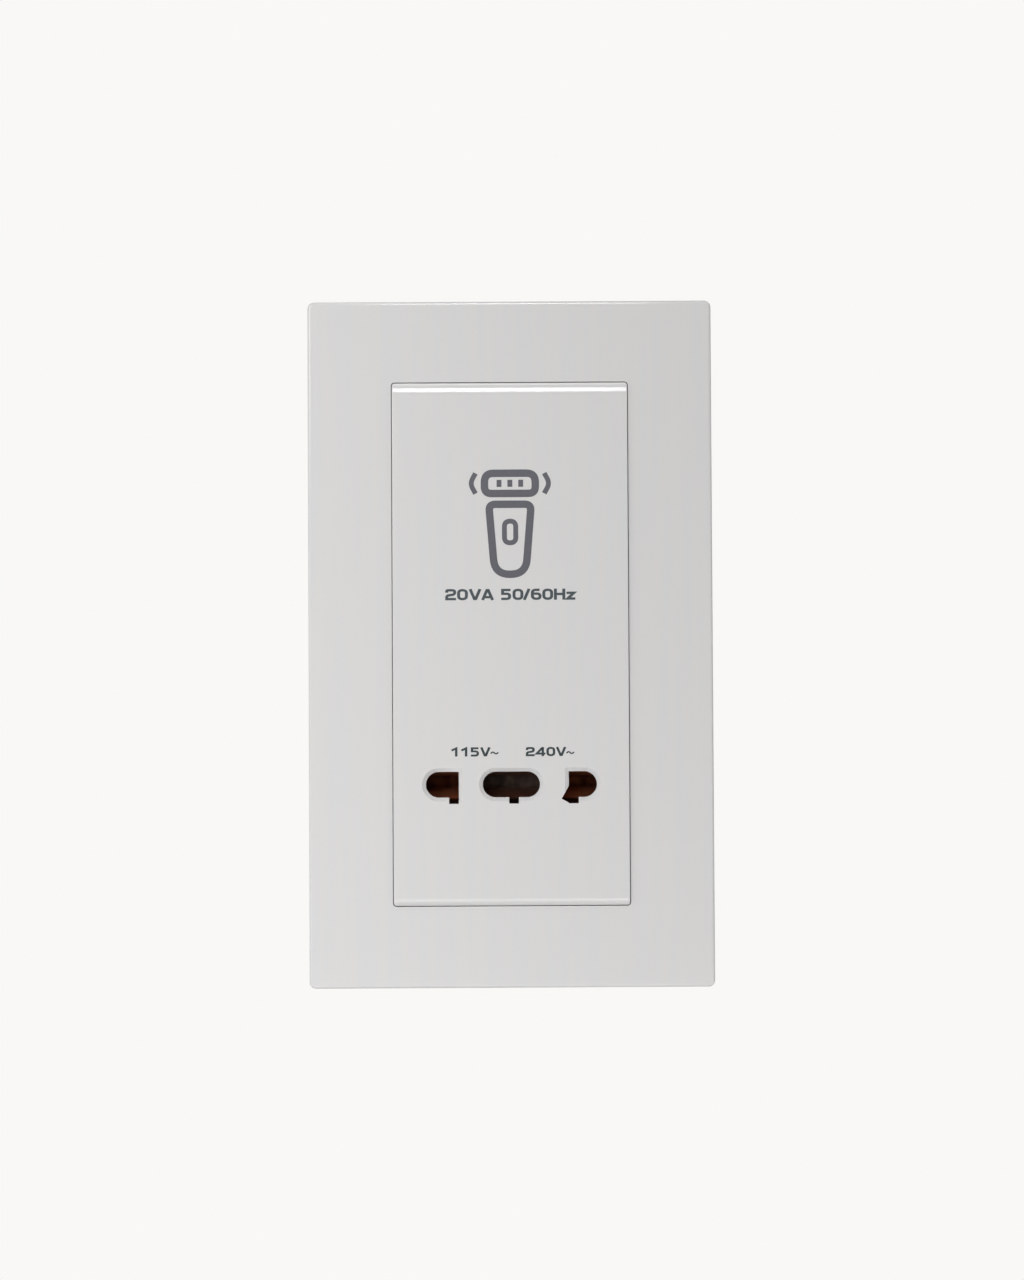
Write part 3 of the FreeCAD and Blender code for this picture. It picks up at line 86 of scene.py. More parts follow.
def put(tree, kind, settings=None, inputs=None):
    """Adds a node with its settings, and sets or links its inputs by name or number."""
    node = tree.nodes.new("ShaderNode" + kind)
    for name, setting in (settings or {}).items():
        setattr(node, name, setting)
    for name, given in (inputs or {}).items():
        if isinstance(given, bpy.types.NodeSocket):
            tree.links.new(given, node.inputs[name])
        else:
            node.inputs[name].default_value = given
    return node


def new_material(name):
    """An empty material, its node tree and the piece's own coordinates, in metres."""
    material = bpy.data.materials.new(name)
    material.use_nodes = True
    tree = material.node_tree
    tree.nodes.clear()
    return material, tree, put(tree, "TexCoord").outputs["Object"]


def close_material(tree, inputs):
    """Ends a material in one Principled surface."""
    shader = put(tree, "BsdfPrincipled", inputs=inputs)
    put(tree, "OutputMaterial", inputs={"Surface": shader.outputs[0]})


# Kinds of a Mix node, and its sockets: the factor, two colours and their mix, two numbers and theirs
RGBA, FLOAT = {"data_type": "RGBA"}, {"data_type": "FLOAT"}
FACTOR, FIRST, SECOND, MIXED = 0, 6, 7, 2
FIRST_NUMBER, SECOND_NUMBER, MIXED_NUMBER = 2, 3, 0


def gloss_white_urea():
    """Urea pressed in a polished tool. The eye sees an even white with a wet gloss, hardly visible upright
    streaks between a cool and a warm tone that are painted reflections, and a trace of orange peel where a
    lamp is mirrored."""
    material, tree, place = new_material("gloss_white_urea_moulding")
    upright = put(tree, "Mapping", inputs={"Vector": place, "Scale": (1, 1, 0.04)}).outputs[0]
    # Upright streaks between a cool and a warm tone: painted reflections of upright things nearby
    painted_reflection_streaks = put(tree, "TexNoise", inputs={"Vector": upright, "Scale": repeats(2), "Detail": 3}).outputs[0]
    share = put(tree, "MapRange", inputs={"Value": painted_reflection_streaks, "From Min": 0.3, "From Max": 0.7}).outputs[0]
    colour = put(tree, "Mix", RGBA, {FACTOR: share, FIRST: linear("D4D4D5"),
                                     SECOND: linear("D7D5D3")}).outputs[MIXED]
    peel = put(tree, "TexNoise", inputs={"Vector": place, "Scale": repeats(3), "Detail": 1}).outputs[0]
    relief = put(tree, "Bump", inputs={"Height": peel, "Distance": 0.0005 * MM, "Strength": 1}).outputs[0]
    close_material(tree, {"Base Color": colour, "Roughness": 0.1, "IOR": 1.54, "Normal": relief})
    return material


def spark_textured_black():
    """Black polycarbonate from a spark-eroded tool. The eye sees a soft, even sparkle of fine pits and a
    dull grey sheen at the edges. The pits are drawn about twice their real width, so that they show."""
    material, tree, place = new_material("spark_textured_black_polycarbonate")
    pits = put(tree, "TexNoise", inputs={"Vector": place, "Scale": repeats(0.5), "Detail": 4,
                                         "Roughness": 0.6}).outputs[0]
    cloud = put(tree, "TexNoise", inputs={"Vector": place, "Scale": repeats(14), "Detail": 2}).outputs[0]
    colour = put(tree, "Mix", RGBA, {FACTOR: cloud, FIRST: linear("232426"),
                                     SECOND: linear("2E2F31")}).outputs[MIXED]
    rough = put(tree, "MapRange", inputs={"Value": pits, "To Min": 0.42, "To Max": 0.72}).outputs[0]
    relief = put(tree, "Bump", inputs={"Height": pits, "Distance": 0.06 * MM, "Strength": 0.8}).outputs[0]
    close_material(tree, {"Base Color": colour, "Roughness": rough, "IOR": 1.58, "Normal": relief})
    return material


def glass_filled_grey():
    """Light grey polyamide with glass fibre. The eye sees a dry, slightly streaked surface with paler
    fibre swirls that follow the flow across the block."""
    material, tree, place = new_material("glass_filled_grey_polyamide")
    flow = put(tree, "Mapping", inputs={"Vector": place, "Scale": (0.25, 1, 1)}).outputs[0]
    swirl = put(tree, "TexNoise", inputs={"Vector": flow, "Scale": repeats(1.2), "Detail": 5,
                                          "Distortion": 0.8}).outputs[0]
    colour = put(tree, "Mix", RGBA, {FACTOR: swirl, FIRST: linear("9C9D9A"),
                                     SECOND: linear("BEBFBB")}).outputs[MIXED]
    relief = put(tree, "Bump", inputs={"Height": swirl, "Distance": 0.02 * MM, "Strength": 0.6}).outputs[0]
    close_material(tree, {"Base Color": colour, "Roughness": 0.52, "IOR": 1.53, "Normal": relief})
    return material


def moulded_brown_phenolic():
    """Wood-filled phenolic. The eye sees a deep brown with lighter and darker flecks of filler under a
    low moulded gloss."""
    material, tree, place = new_material("moulded_brown_phenolic")
    fleck = put(tree, "TexNoise", inputs={"Vector": place, "Scale": repeats(0.8), "Detail": 6,
                                          "Roughness": 0.7}).outputs[0]
    share = put(tree, "MapRange", inputs={"Value": fleck, "From Min": 0.35, "From Max": 0.68}).outputs[0]
    colour = put(tree, "Mix", RGBA, {FACTOR: share, FIRST: linear("1E120D"),
                                     SECOND: linear("3C251A")}).outputs[MIXED]
    close_material(tree, {"Base Color": colour, "Roughness": 0.34, "IOR": 1.62})
    return material


# Level of the contacts' bend, the distances from it where a painted highlight comes in along the leaves and
# a painted shadow takes over at the lips, and the dull bend's roughness
CONTACT_LEVEL = sum(corner.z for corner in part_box("contact_common")) / 2
HIGHLIGHT_START, HIGHLIGHT_FULL = 1.0 * MM, 2.2 * MM
LIP_SHADOW_START, LIP_SHADOW_FULL = 3.1 * MM, 3.6 * MM
TARNISH_ROUGHNESS = 0.85


def rolled_phosphor_bronze(name, shade, light, painted_highlight, painted_lip_shadow):
    """Hard-rolled bronze strip. The eye sees a reddish brown metal with fine rolling lines. Deep in the bend
    it keeps a stained tarnish with a dull roughness; along the leaves a painted highlight brightens it, and
    at the lips a painted shadow makes it almost black."""
    material, tree, place = new_material(name)
    lengthwise = put(tree, "Mapping", inputs={"Vector": place, "Scale": (1, 0.05, 0.3)}).outputs[0]
    lines = put(tree, "TexNoise", inputs={"Vector": lengthwise, "Scale": repeats(0.25),
                                          "Detail": 3}).outputs[0]
    stain = put(tree, "TexNoise", inputs={"Vector": place, "Scale": repeats(3), "Detail": 4}).outputs[0]
    share = put(tree, "MapRange", inputs={"Value": stain, "From Min": 0.35, "From Max": 0.65}).outputs[0]
    tarnish = put(tree, "Mix", RGBA, {FACTOR: share, FIRST: linear(shade),
                                      SECOND: linear(light)}).outputs[MIXED]
    height = put(tree, "SeparateXYZ", inputs={0: place}).outputs["Z"]
    beside = put(tree, "Math", {"operation": "SUBTRACT"}, {0: height, 1: CONTACT_LEVEL}).outputs[0]
    reach = put(tree, "Math", {"operation": "ABSOLUTE"}, {0: beside}).outputs[0]
    # Painted highlight: the leaves turn brighter from this distance from the bend outwards
    highlight_share = put(tree, "MapRange", inputs={"Value": reach, "From Min": HIGHLIGHT_START,
                                         "From Max": HIGHLIGHT_FULL}).outputs[0]
    # Painted shadow: the lips turn almost black beyond this distance from the bend
    outside_lip_shadow = put(tree, "MapRange", inputs={"Value": reach, "From Min": LIP_SHADOW_FULL,
                                         "From Max": LIP_SHADOW_START}).outputs[0]
    highlit_or_tarnished = put(tree, "Mix", RGBA, {FACTOR: highlight_share, FIRST: tarnish, SECOND: linear(painted_highlight)}).outputs[MIXED]
    colour = put(tree, "Mix", RGBA, {FACTOR: outside_lip_shadow, FIRST: linear(painted_lip_shadow), SECOND: highlit_or_tarnished}).outputs[MIXED]
    bare = put(tree, "MapRange", inputs={"Value": lines, "To Min": 0.36, "To Max": 0.58}).outputs[0]
    rough = put(tree, "Mix", FLOAT, {FACTOR: highlight_share, FIRST_NUMBER: TARNISH_ROUGHNESS,
                                     SECOND_NUMBER: bare}).outputs[MIXED_NUMBER]
    relief = put(tree, "Bump", inputs={"Height": lines, "Distance": 0.006 * MM, "Strength": 0.5}).outputs[0]
    close_material(tree, {"Base Color": colour, "Metallic": 1, "Roughness": rough, "Normal": relief})
    return material


def machined_brass():
    """Free-cutting brass bar, sawn and drilled. The eye sees a warm yellow metal with close tool marks and
    a light brown bloom."""
    material, tree, place = new_material("machined_brass")
    marks = put(tree, "TexWave", {"bands_direction": "Z"},
                {"Vector": place, "Scale": bands(0.35), "Distortion": 1.2, "Detail": 2}).outputs[1]
    bloom = put(tree, "TexNoise", inputs={"Vector": place, "Scale": repeats(4), "Detail": 4}).outputs[0]
    colour = put(tree, "Mix", RGBA, {FACTOR: bloom, FIRST: linear("A98443"),
                                     SECOND: linear("DDBE78")}).outputs[MIXED]
    rough = put(tree, "MapRange", inputs={"Value": bloom, "To Min": 0.22, "To Max": 0.42}).outputs[0]
    relief = put(tree, "Bump", inputs={"Height": marks, "Distance": 0.008 * MM, "Strength": 0.4}).outputs[0]
    close_material(tree, {"Base Color": colour, "Metallic": 1, "Roughness": rough, "Normal": relief})
    return material


def zinc_plated_steel():
    """Bright zinc over pressed steel. The eye sees a cold silver with a faint blue and straw cast and a
    slightly frosted skin."""
    material, tree, place = new_material("zinc_plated_steel")
    cast = put(tree, "TexNoise", inputs={"Vector": place, "Scale": repeats(2), "Detail": 3}).outputs[0]
    colour = put(tree, "Mix", RGBA, {FACTOR: cast, FIRST: linear("B9C1CA"),
                                     SECOND: linear("D2CDBE")}).outputs[MIXED]
    frost = put(tree, "TexNoise", inputs={"Vector": place, "Scale": repeats(0.2), "Detail": 2}).outputs[0]
    rough = put(tree, "MapRange", inputs={"Value": frost, "To Min": 0.2, "To Max": 0.4}).outputs[0]
    close_material(tree, {"Base Color": colour, "Metallic": 1, "Roughness": rough})
    return material


def varnished_laminations():
    """Stacked silicon steel sheets, dipped in varnish. The eye sees the edges of half-millimetre sheets as
    fine upright lines, dark grey with an amber film."""
    material, tree, place = new_material("varnished_silicon_steel_laminations")
    sheets = put(tree, "TexWave", {"bands_direction": "Y"},
                 {"Vector": place, "Scale": bands(0.5), "Distortion": 0.3}).outputs[1]
    film = put(tree, "TexNoise", inputs={"Vector": place, "Scale": repeats(6), "Detail": 4}).outputs[0]
    colour = put(tree, "Mix", RGBA, {FACTOR: film, FIRST: linear("3C3B3B"),
                                     SECOND: linear("6E6353")}).outputs[MIXED]
    relief = put(tree, "Bump", inputs={"Height": sheets, "Distance": 0.1 * MM, "Strength": 1}).outputs[0]
    close_material(tree, {"Base Color": colour, "Metallic": 0.7, "Roughness": 0.45, "Normal": relief})
    return material


def natural_nylon():
    """Unpigmented nylon. The eye sees a milky cream that is a little waxy, with cloudy depth."""
    material, tree, place = new_material("moulded_natural_nylon")
    cloud = put(tree, "TexNoise", inputs={"Vector": place, "Scale": repeats(5), "Detail": 3}).outputs[0]
    colour = put(tree, "Mix", RGBA, {FACTOR: cloud, FIRST: linear("D8D0BB"),
                                     SECOND: linear("ECE7D8")}).outputs[MIXED]
    close_material(tree, {"Base Color": colour, "Roughness": 0.4, "IOR": 1.53})
    return material


def layer_wound_copper():
    """Enamelled copper wire in close turns. The eye sees rows of fine round ridges in a dark orange, each
    with its own thin highlight."""
    material, tree, place = new_material("layer_wound_enamelled_copper")
    turns = put(tree, "TexWave", {"bands_direction": "Z"},
                {"Vector": place, "Scale": bands(0.4), "Distortion": 0.2}).outputs[1]
    tone = put(tree, "TexNoise", inputs={"Vector": place, "Scale": repeats(3), "Detail": 2}).outputs[0]
    colour = put(tree, "Mix", RGBA, {FACTOR: tone, FIRST: linear("8A4320"),
                                     SECOND: linear("BE6A3A")}).outputs[MIXED]
    relief = put(tree, "Bump", inputs={"Height": turns, "Distance": 0.2 * MM, "Strength": 1}).outputs[0]
    close_material(tree, {"Base Color": colour, "Metallic": 0.9, "Roughness": 0.28, "Normal": relief})
    return material


def yellow_polyester_tape():
    """Thin polyester film wound over the coil. The eye sees a clear yellow gloss with slack ripples and the
    lapped edge of each turn."""
    material, tree, place = new_material("wound_yellow_polyester_tape")
    ripple = put(tree, "TexNoise", inputs={"Vector": place, "Scale": repeats(4), "Detail": 2}).outputs[0]
    colour = put(tree, "Mix", RGBA, {FACTOR: ripple, FIRST: linear("C99713"),
                                     SECOND: linear("E8BF3E")}).outputs[MIXED]
    relief = put(tree, "Bump", inputs={"Height": ripple, "Distance": 0.15 * MM, "Strength": 0.7}).outputs[0]
    close_material(tree, {"Base Color": colour, "Roughness": 0.2, "IOR": 1.6, "Normal": relief})
    return material


def extruded_pvc(name, shade, light):
    """Extruded soft PVC. The eye sees an even colour with a satin gloss and slight waves from the die."""
    material, tree, place = new_material(name)
    wave = put(tree, "TexNoise", inputs={"Vector": place, "Scale": repeats(1.5), "Detail": 2}).outputs[0]
    colour = put(tree, "Mix", RGBA, {FACTOR: wave, FIRST: linear(shade),
                                     SECOND: linear(light)}).outputs[MIXED]
    relief = put(tree, "Bump", inputs={"Height": wave, "Distance": 0.03 * MM, "Strength": 0.5}).outputs[0]
    close_material(tree, {"Base Color": colour, "Roughness": 0.36, "IOR": 1.53, "Normal": relief})
    return material


def pad_printed_ink(name, shade, light):
    """Ink laid by a soft pad. The eye sees a flat satin grey, a little thinner in places where the white
    below lightens it."""
    material, tree, place = new_material(name)
    cover = put(tree, "TexNoise", inputs={"Vector": place, "Scale": repeats(0.7), "Detail": 3}).outputs[0]
    colour = put(tree, "Mix", RGBA, {FACTOR: cover, FIRST: linear(shade),
                                     SECOND: linear(light)}).outputs[MIXED]
    close_material(tree, {"Base Color": colour, "Roughness": 0.45, "IOR": 1.5})
    return material


# A finish for each material slot of the record
finishes = {
    "white_moulding": gloss_white_urea(),
    "black_moulding": spark_textured_black(),
    "grey_moulding": glass_filled_grey(),
    "brown_phenolic": moulded_brown_phenolic(),
    # Its last two colours are a painted highlight along the leaves and a painted shadow at the lips
    "bronze_strip": rolled_phosphor_bronze("rolled_phosphor_bronze", "7A4934", "B27352", "DDA27E",
                                           "3A241B"),
    "terminal_brass": machined_brass(),
    "plated_steel": zinc_plated_steel(),
    "lamination_steel": varnished_laminations(),
    "nylon_former": natural_nylon(),
    "enamelled_copper": layer_wound_copper(),
    "polyester_tape": yellow_polyester_tape(),
    "brown_insulation": extruded_pvc("extruded_brown_pvc", "4A2A18", "5C3722"),
    "blue_insulation": extruded_pvc("extruded_blue_pvc", "1D4C9A", "2A5FB2"),
    "yellow_insulation": extruded_pvc("extruded_yellow_pvc", "D9B02A", "E8C64A"),
    "black_insulation": extruded_pvc("extruded_black_pvc", "1B1B1C", "29292A"),
    "red_insulation": extruded_pvc("extruded_red_pvc", "9E1F1C", "B5322C"),
}
for subpart in frame["record"]["subparts"]:
    mesh = frame["nodes"][subpart["node"]].data
    mesh.materials.clear()
    mesh.materials.append(finishes[subpart["material_slot"]])

# The middle contact serves both voltages and is given a greyer bronze, whose last two colours are a dimmer
# painted highlight along the leaves and a painted shadow at the lips
common_finish = rolled_phosphor_bronze("grey_phosphor_bronze", "847972", "B3A297", "A87F6C",
                                       "2B2725")
frame["nodes"]["contact_common"].data.materials[0] = common_finish


def unit(vectors):
    """Vectors, one to a row, brought to a length of 1."""
    return vectors / np.linalg.norm(vectors, axis=1, keepdims=True)


# Front plate with chamfered apertures: the lead-ins' radius, and how far beyond the pins they are sought
LEAD_IN, RIM_MARGIN = 0.8 * MM, 3 * MM
# A little more than the lead-ins' depth, so that their last points count
LEAD_IN_REACH = 1.001 * LEAD_IN
# Limits of a chamfer facet's forward share of its normal, which is 0 on a wall and 1 on the face
CHAMFER_TILT = (0.5, 0.9)
# Decimals of a metre to which loose corners are merged, and the least area that is divided by
MERGE_DECIMALS, LEAST_AREA = 7, 1e-15


def chamfer_apertures():
    """The front plate with flat lead-ins: on the rounded ones, of radius r, a point at depth e behind the
    face goes to depth sqrt(r^2 - (r - e)^2), which lays each arc flat on its chord. Only there are normals
    taken anew, as the mean of the facets round a point."""
    source = frame["nodes"]["front_plate"].data
    places = np.empty(len(source.vertices) * 3)
    source.vertices.foreach_get("co", places)
    corners = np.empty(len(source.loops), int)
    source.loops.foreach_get("vertex_index", corners)
    normals = np.empty(len(source.loops) * 3)
    source.corner_normals.foreach_get("vector", normals)
    normals = normals.reshape(-1, 3, 3)
    merged = places.reshape(-1, 3).round(MERGE_DECIMALS)
    points, point_of = np.unique(merged, axis=0, return_inverse=True)
    triangles = point_of.ravel()[corners].reshape(-1, 3)

    pin_boxes = np.array([opening["box_m"] for opening in frame["record"]["physics"]["openings"]])
    low, high = pin_boxes.min((0, 1)) - RIM_MARGIN, pin_boxes.max((0, 1)) + RIM_MARGIN
    depth = points[:, 1] - PANEL_FACE
    near = ((points > low) & (points < high))[:, [0, 2]].all(1) & (depth < LEAD_IN_REACH)
    points[near, 1] = PANEL_FACE + np.sqrt(np.maximum(LEAD_IN ** 2 - (LEAD_IN - depth[near]) ** 2, 0))
    first, second, third = points[triangles.T]
    facet = np.cross(second - first, third - first)
    tilt = -facet[:, 1] / np.maximum(np.linalg.norm(facet, axis=1), LEAST_AREA)
    sloping = near[triangles].all(1) & (tilt > CHAMFER_TILT[0]) & (tilt < CHAMFER_TILT[1])
    total = np.zeros_like(points)
    np.add.at(total, triangles[sloping], facet[sloping][:, None])
    normals[sloping] = unit(total[triangles[sloping]].reshape(-1, 3)).reshape(-1, 3, 3)

    mesh = bpy.data.meshes.new("chamfered_front_plate")
    mesh.from_pydata(points.tolist(), [], triangles.tolist())
    mesh.polygons.foreach_set("use_smooth", np.ones(len(triangles), bool))
    mesh.normals_split_custom_set(normals.reshape(-1, 3).tolist())
    mesh.materials.append(finishes["white_moulding"])
    piece = bpy.data.objects.new("chamfered_front_plate", mesh)
    bpy.context.scene.collection.objects.link(piece)
    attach(piece, "root")
    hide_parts("front_plate")


chamfer_apertures()


# Flat bands along lines, for print and raised marks: points to a bend, and the least gap between two
BEND_POINTS, LEAST_GAP = 9, 1e-6


def rounded(points, closed):
    """A line through points given as across, up and setback. Each corner P is cut back by its setback, or by
    half of its shorter side, to A and B, and bent along the parabola (1-t)^2 A + 2t(1-t) P + t^2 B."""
    points = np.array([(*point, 0)[:3] for point in points], float)
    corner = points[:, :2]
    back, ahead = np.roll(corner, 1, 0) - corner, np.roll(corner, -1, 0) - corner
    shorter = np.minimum(np.linalg.norm(back, axis=1), np.linalg.norm(ahead, axis=1))
    setback = np.minimum(points[:, 2], shorter / 2)[:, None]
    a, b = corner + unit(back) * setback, corner + unit(ahead) * setback
    t = np.linspace(0, 1, BEND_POINTS)[None, :, None]
    bend = (1 - t) ** 2 * a[:, None] + 2 * t * (1 - t) * corner[:, None] + t ** 2 * b[:, None]
    line = bend.reshape(-1, 2)
    apart = np.linalg.norm(line - np.roll(line, 1, 0), axis=1) > LEAST_GAP
    apart[0] |= not closed
    return line[apart]


def band(line, width, rise, draft, closed):
    """A low band along a line: at each point the section steps half the width to both sides along the
    mitre of the neighbouring runs, rises, and narrows by the draft. Four rails, as across, up, height."""
    ahead = unit(np.roll(line, -1, 0) - line)
    behind = np.roll(ahead, 1, 0)
    if not closed:
        ahead[-1] = behind[-1]
        behind[0] = ahead[0]
    left_ahead = np.stack([-ahead[:, 1], ahead[:, 0]], 1)
    left_behind = np.stack([-behind[:, 1], behind[:, 0]], 1)
    mitre = (left_ahead + left_behind) / (1 + (left_ahead * left_behind).sum(1, keepdims=True))
    reach = np.array([1, 1 - draft, draft - 1, -1]) * width / 2
    height = np.array([0, rise, rise, 0])
    flat = line[:, None] + mitre[:, None] * reach[None, :, None]
    return np.concatenate([flat, np.broadcast_to(height[None, :, None], (len(line), 4, 1))], 2)


def band_faces(count, closed, first):
    """Quads between neighbouring sections of four rails, and a quad across each end of an open band."""
    section = np.arange(count if closed else count - 1)[:, None]
    rail = np.arange(4)[None, :]
    after, beside = (section + 1) % count, (rail + 1) % 4
    quads = np.stack([section * 4 + rail, section * 4 + beside, after * 4 + beside, after * 4 + rail], 2)
    quads = quads.reshape(-1, 4)
    if not closed:
        ends = np.array([[3, 2, 1, 0], np.arange(4) + 4 * (count - 1)])
        quads = np.concatenate([quads, ends])
    return quads + first


def lay_bands(name, strokes, rise, draft, origin, across, outwards, material):
    """One mesh of bands laid on a flat face: a point (u, v, h) in millimetres goes to
    origin + u across + v up + h outwards. Each stroke is a line, whether it is closed, and its width."""
    axes = np.array([across, (0, 0, 1), outwards], float)
    points, faces, first = [], [], 0
    for stroke, closed, width in strokes:
        rails = band(rounded(stroke, closed), width, rise, draft, closed)
        points.append(rails.reshape(-1, 3))
        faces.append(band_faces(len(rails), closed, first))
        first += rails.shape[0] * 4
    places = (np.array(origin) + np.concatenate(points) @ axes * MM).tolist()
    mesh = bpy.data.meshes.new(name)
    mesh.from_pydata(places, [], np.concatenate(faces).tolist())
    mesh.materials.append(material)
    piece = bpy.data.objects.new(name, mesh)
    bpy.context.scene.collection.objects.link(piece)
    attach(piece, "root")
    return piece


# Wide sans figures and letters in cap heights: advance, weight and centre lines of (across, up, setback)
OPEN, CLOSED = False, True
SIGNS = {
    "0": (0.96, 1, [([(0.13, 0.1, 0.34), (0.84, 0.1, 0.34), (0.84, 0.9, 0.34),
                      (0.13, 0.9, 0.34)], CLOSED)]),
    "1": (1.0, 1, [([(0.04, 0.66), (0.56, 0.9), (0.56, 0.0)], OPEN)]),
    "2": (0.98, 1, [([(0.13, 0.68), (0.13, 0.9, 0.22), (0.85, 0.9, 0.22), (0.85, 0.52, 0.22),
                      (0.13, 0.42, 0.2), (0.13, 0.1), (0.97, 0.1)], OPEN)]),
    "4": (1.11, 1, [([(0.74, 0.9), (0.14, 0.28), (0.7, 0.28)], OPEN), ([(0.8, 1.0), (0.8, 0.0)], OPEN),
                    ([(0.92, 0.28), (1.09, 0.28)], OPEN)]),
    "5": (0.94, 1, [([(0.84, 0.9), (0.13, 0.9), (0.13, 0.56), (0.76, 0.56, 0.22), (0.76, 0.1, 0.22),
                      (0.0, 0.1)], OPEN)]),
    "6": (0.94, 1, [([(0.78, 0.9), (0.13, 0.9, 0.3), (0.13, 0.1, 0.3), (0.82, 0.1, 0.26),
                      (0.82, 0.56, 0.26), (0.26, 0.56)], OPEN)]),
    "/": (0.52, 1, [([(0.0, 0.0), (0.44, 1.0)], OPEN)]),
    "V": (1.04, 1, [([(0.12, 1.0), (0.51, 0.11), (0.63, 0.11), (1.02, 1.0)], OPEN)]),
    "A": (1.12, 1, [([(0.12, 0.0), (0.51, 0.89), (0.63, 0.89), (1.02, 0.0)], OPEN),
                    ([(0.36, 0.26), (0.78, 0.26)], OPEN)]),
    "H": (1.02, 1, [([(0.13, 0.0), (0.13, 1.0)], OPEN), ([(0.89, 0.0), (0.89, 1.0)], OPEN),
                    ([(0.26, 0.52), (0.76, 0.52)], OPEN)]),
    "z": (0.84, 1, [([(0.02, 0.62), (0.7, 0.62), (0.13, 0.1), (0.82, 0.1)], OPEN)]),
    "L": (0.8, 1, [([(0.13, 1.0), (0.13, 0.1), (0.8, 0.1)], OPEN)]),
    "N": (1.1, 1, [([(0.13, 0.0), (0.13, 0.9), (0.97, 0.1), (0.97, 1.0)], OPEN)]),
    "~": (0.9, 0.65, [([(0.04, 0.3), (0.26, 0.52, 0.2), (0.62, 0.22, 0.2), (0.86, 0.44)], OPEN)]),
    " ": (0.5, 1, []),
    "earth": (1.0, 1, [([(0.5, 1.0), (0.5, 0.6)], OPEN), ([(0.0, 0.5), (1.0, 0.5)], OPEN),
                       ([(0.2, 0.28), (0.8, 0.28)], OPEN), ([(0.38, 0.06), (0.62, 0.06)], OPEN)]),
}
SIGN_GAP = 0.09
# Thickness of a level stroke in cap heights, and how much thicker the upright ones are
SIGN_STROKE, STEM_SWELL = 0.22, 1.25


def set_line(signs, left, bottom, height):
    """Strokes of a line of signs in millimetres from its left end, drawn narrower by the stems' swell, which
    is undone as the bands are laid, and the line's right end."""
    strokes, at = [], left
    for sign in signs:
        advance, weight, lines = SIGNS[sign]
        for stroke, closed in lines:
            placed = [((at + x * height) / STEM_SWELL, bottom + z * height, *(r * height for r in setback))
                      for x, z, *setback in stroke]
            strokes.append((placed, closed, SIGN_STROKE * weight * height))
        at += (advance + SIGN_GAP) * height
    return strokes, at - SIGN_GAP * height


# Print on the panel, in millimetres from the plate's centre
INK_RISE, INK_DRAFT = 0.03, 0.06
PRINT_ORIGIN, PRINT_OUTWARDS = (0, PANEL_FACE, 0), (0, -1, 0)
LETTERS_ACROSS, SYMBOL_ACROSS = (STEM_SWELL, 0, 0), (1, 0, 0)
RATING_HEIGHT, RATING_LEVEL = 1.92, -23.92
RATING_STARTS = {"115V~": -12.75, "240V~": 3.1}
SUPPLY_HEIGHT, SUPPLY_LEVEL = 2.35, 9.25
SUPPLY_TEXT = "20VA 50/60Hz"

dark_ink = pad_printed_ink("pad_printed_slate_ink", "18262A", "243135")
slate_ink = pad_printed_ink("pad_printed_blue_grey_ink", "2A3439", "384147")
symbol_ink = pad_printed_ink("pad_printed_violet_grey_ink", "484851", "53535B")

rating_strokes = []
for text, start in RATING_STARTS.items():
    rating_strokes += set_line(text, start, RATING_LEVEL, RATING_HEIGHT)[0]
supply_end = set_line(SUPPLY_TEXT, 0, 0, SUPPLY_HEIGHT)[1]
supply_strokes = set_line(SUPPLY_TEXT, -supply_end / 2, SUPPLY_LEVEL, SUPPLY_HEIGHT)[0]

# An upright foil shaver that is running: slit head, tapered body with its switch, and a bow at each side
BOLD, FINE = 1.6, 1.05
HEAD_HALF, HEAD_LOW, HEAD_HIGH = 5.4, 31.9, 36.2
BODY_HALF, FOOT_HALF, BODY_LOW, BODY_HIGH = 4.5, 3.3, 14.7, 29.6
SWITCH_HALF, SWITCH_LOW, SWITCH_HIGH = 1.2, 21.4, 26.0
SLIT_PITCH, SLIT_LOW, SLIT_HIGH = 2.3, 33.3, 34.8
BOW_INNER, BOW_OUTER = 7.3, 8.5
# Setbacks of the rounded corners
CHIN_ROUND, CROWN_ROUND = 1.5, 1.9
SHOULDER_ROUND, FOOT_ROUND = 1.4, 3.2
SWITCH_ROUND, BOW_ROUND = 1.2, 2
symbol_strokes = [
    ([(-HEAD_HALF, HEAD_LOW, CHIN_ROUND), (HEAD_HALF, HEAD_LOW, CHIN_ROUND),
      (HEAD_HALF, HEAD_HIGH, CROWN_ROUND), (-HEAD_HALF, HEAD_HIGH, CROWN_ROUND)], CLOSED, BOLD),
    ([(-BODY_HALF, BODY_HIGH, SHOULDER_ROUND), (-FOOT_HALF, BODY_LOW, FOOT_ROUND),
      (FOOT_HALF, BODY_LOW, FOOT_ROUND), (BODY_HALF, BODY_HIGH, SHOULDER_ROUND)], CLOSED, BOLD),
    ([(-SWITCH_HALF, SWITCH_LOW, SWITCH_ROUND), (SWITCH_HALF, SWITCH_LOW, SWITCH_ROUND),
      (SWITCH_HALF, SWITCH_HIGH, SWITCH_ROUND), (-SWITCH_HALF, SWITCH_HIGH, SWITCH_ROUND)], CLOSED, FINE),
]
for place in (-SLIT_PITCH, 0, SLIT_PITCH):
    symbol_strokes.append(([(place, SLIT_LOW), (place, SLIT_HIGH)], OPEN, FINE))
for side in (-1, 1):
    bow = [(side * BOW_INNER, HEAD_LOW), (side * BOW_OUTER, (HEAD_LOW + HEAD_HIGH) / 2, BOW_ROUND),
           (side * BOW_INNER, HEAD_HIGH)]
    symbol_strokes.append((bow, OPEN, FINE))

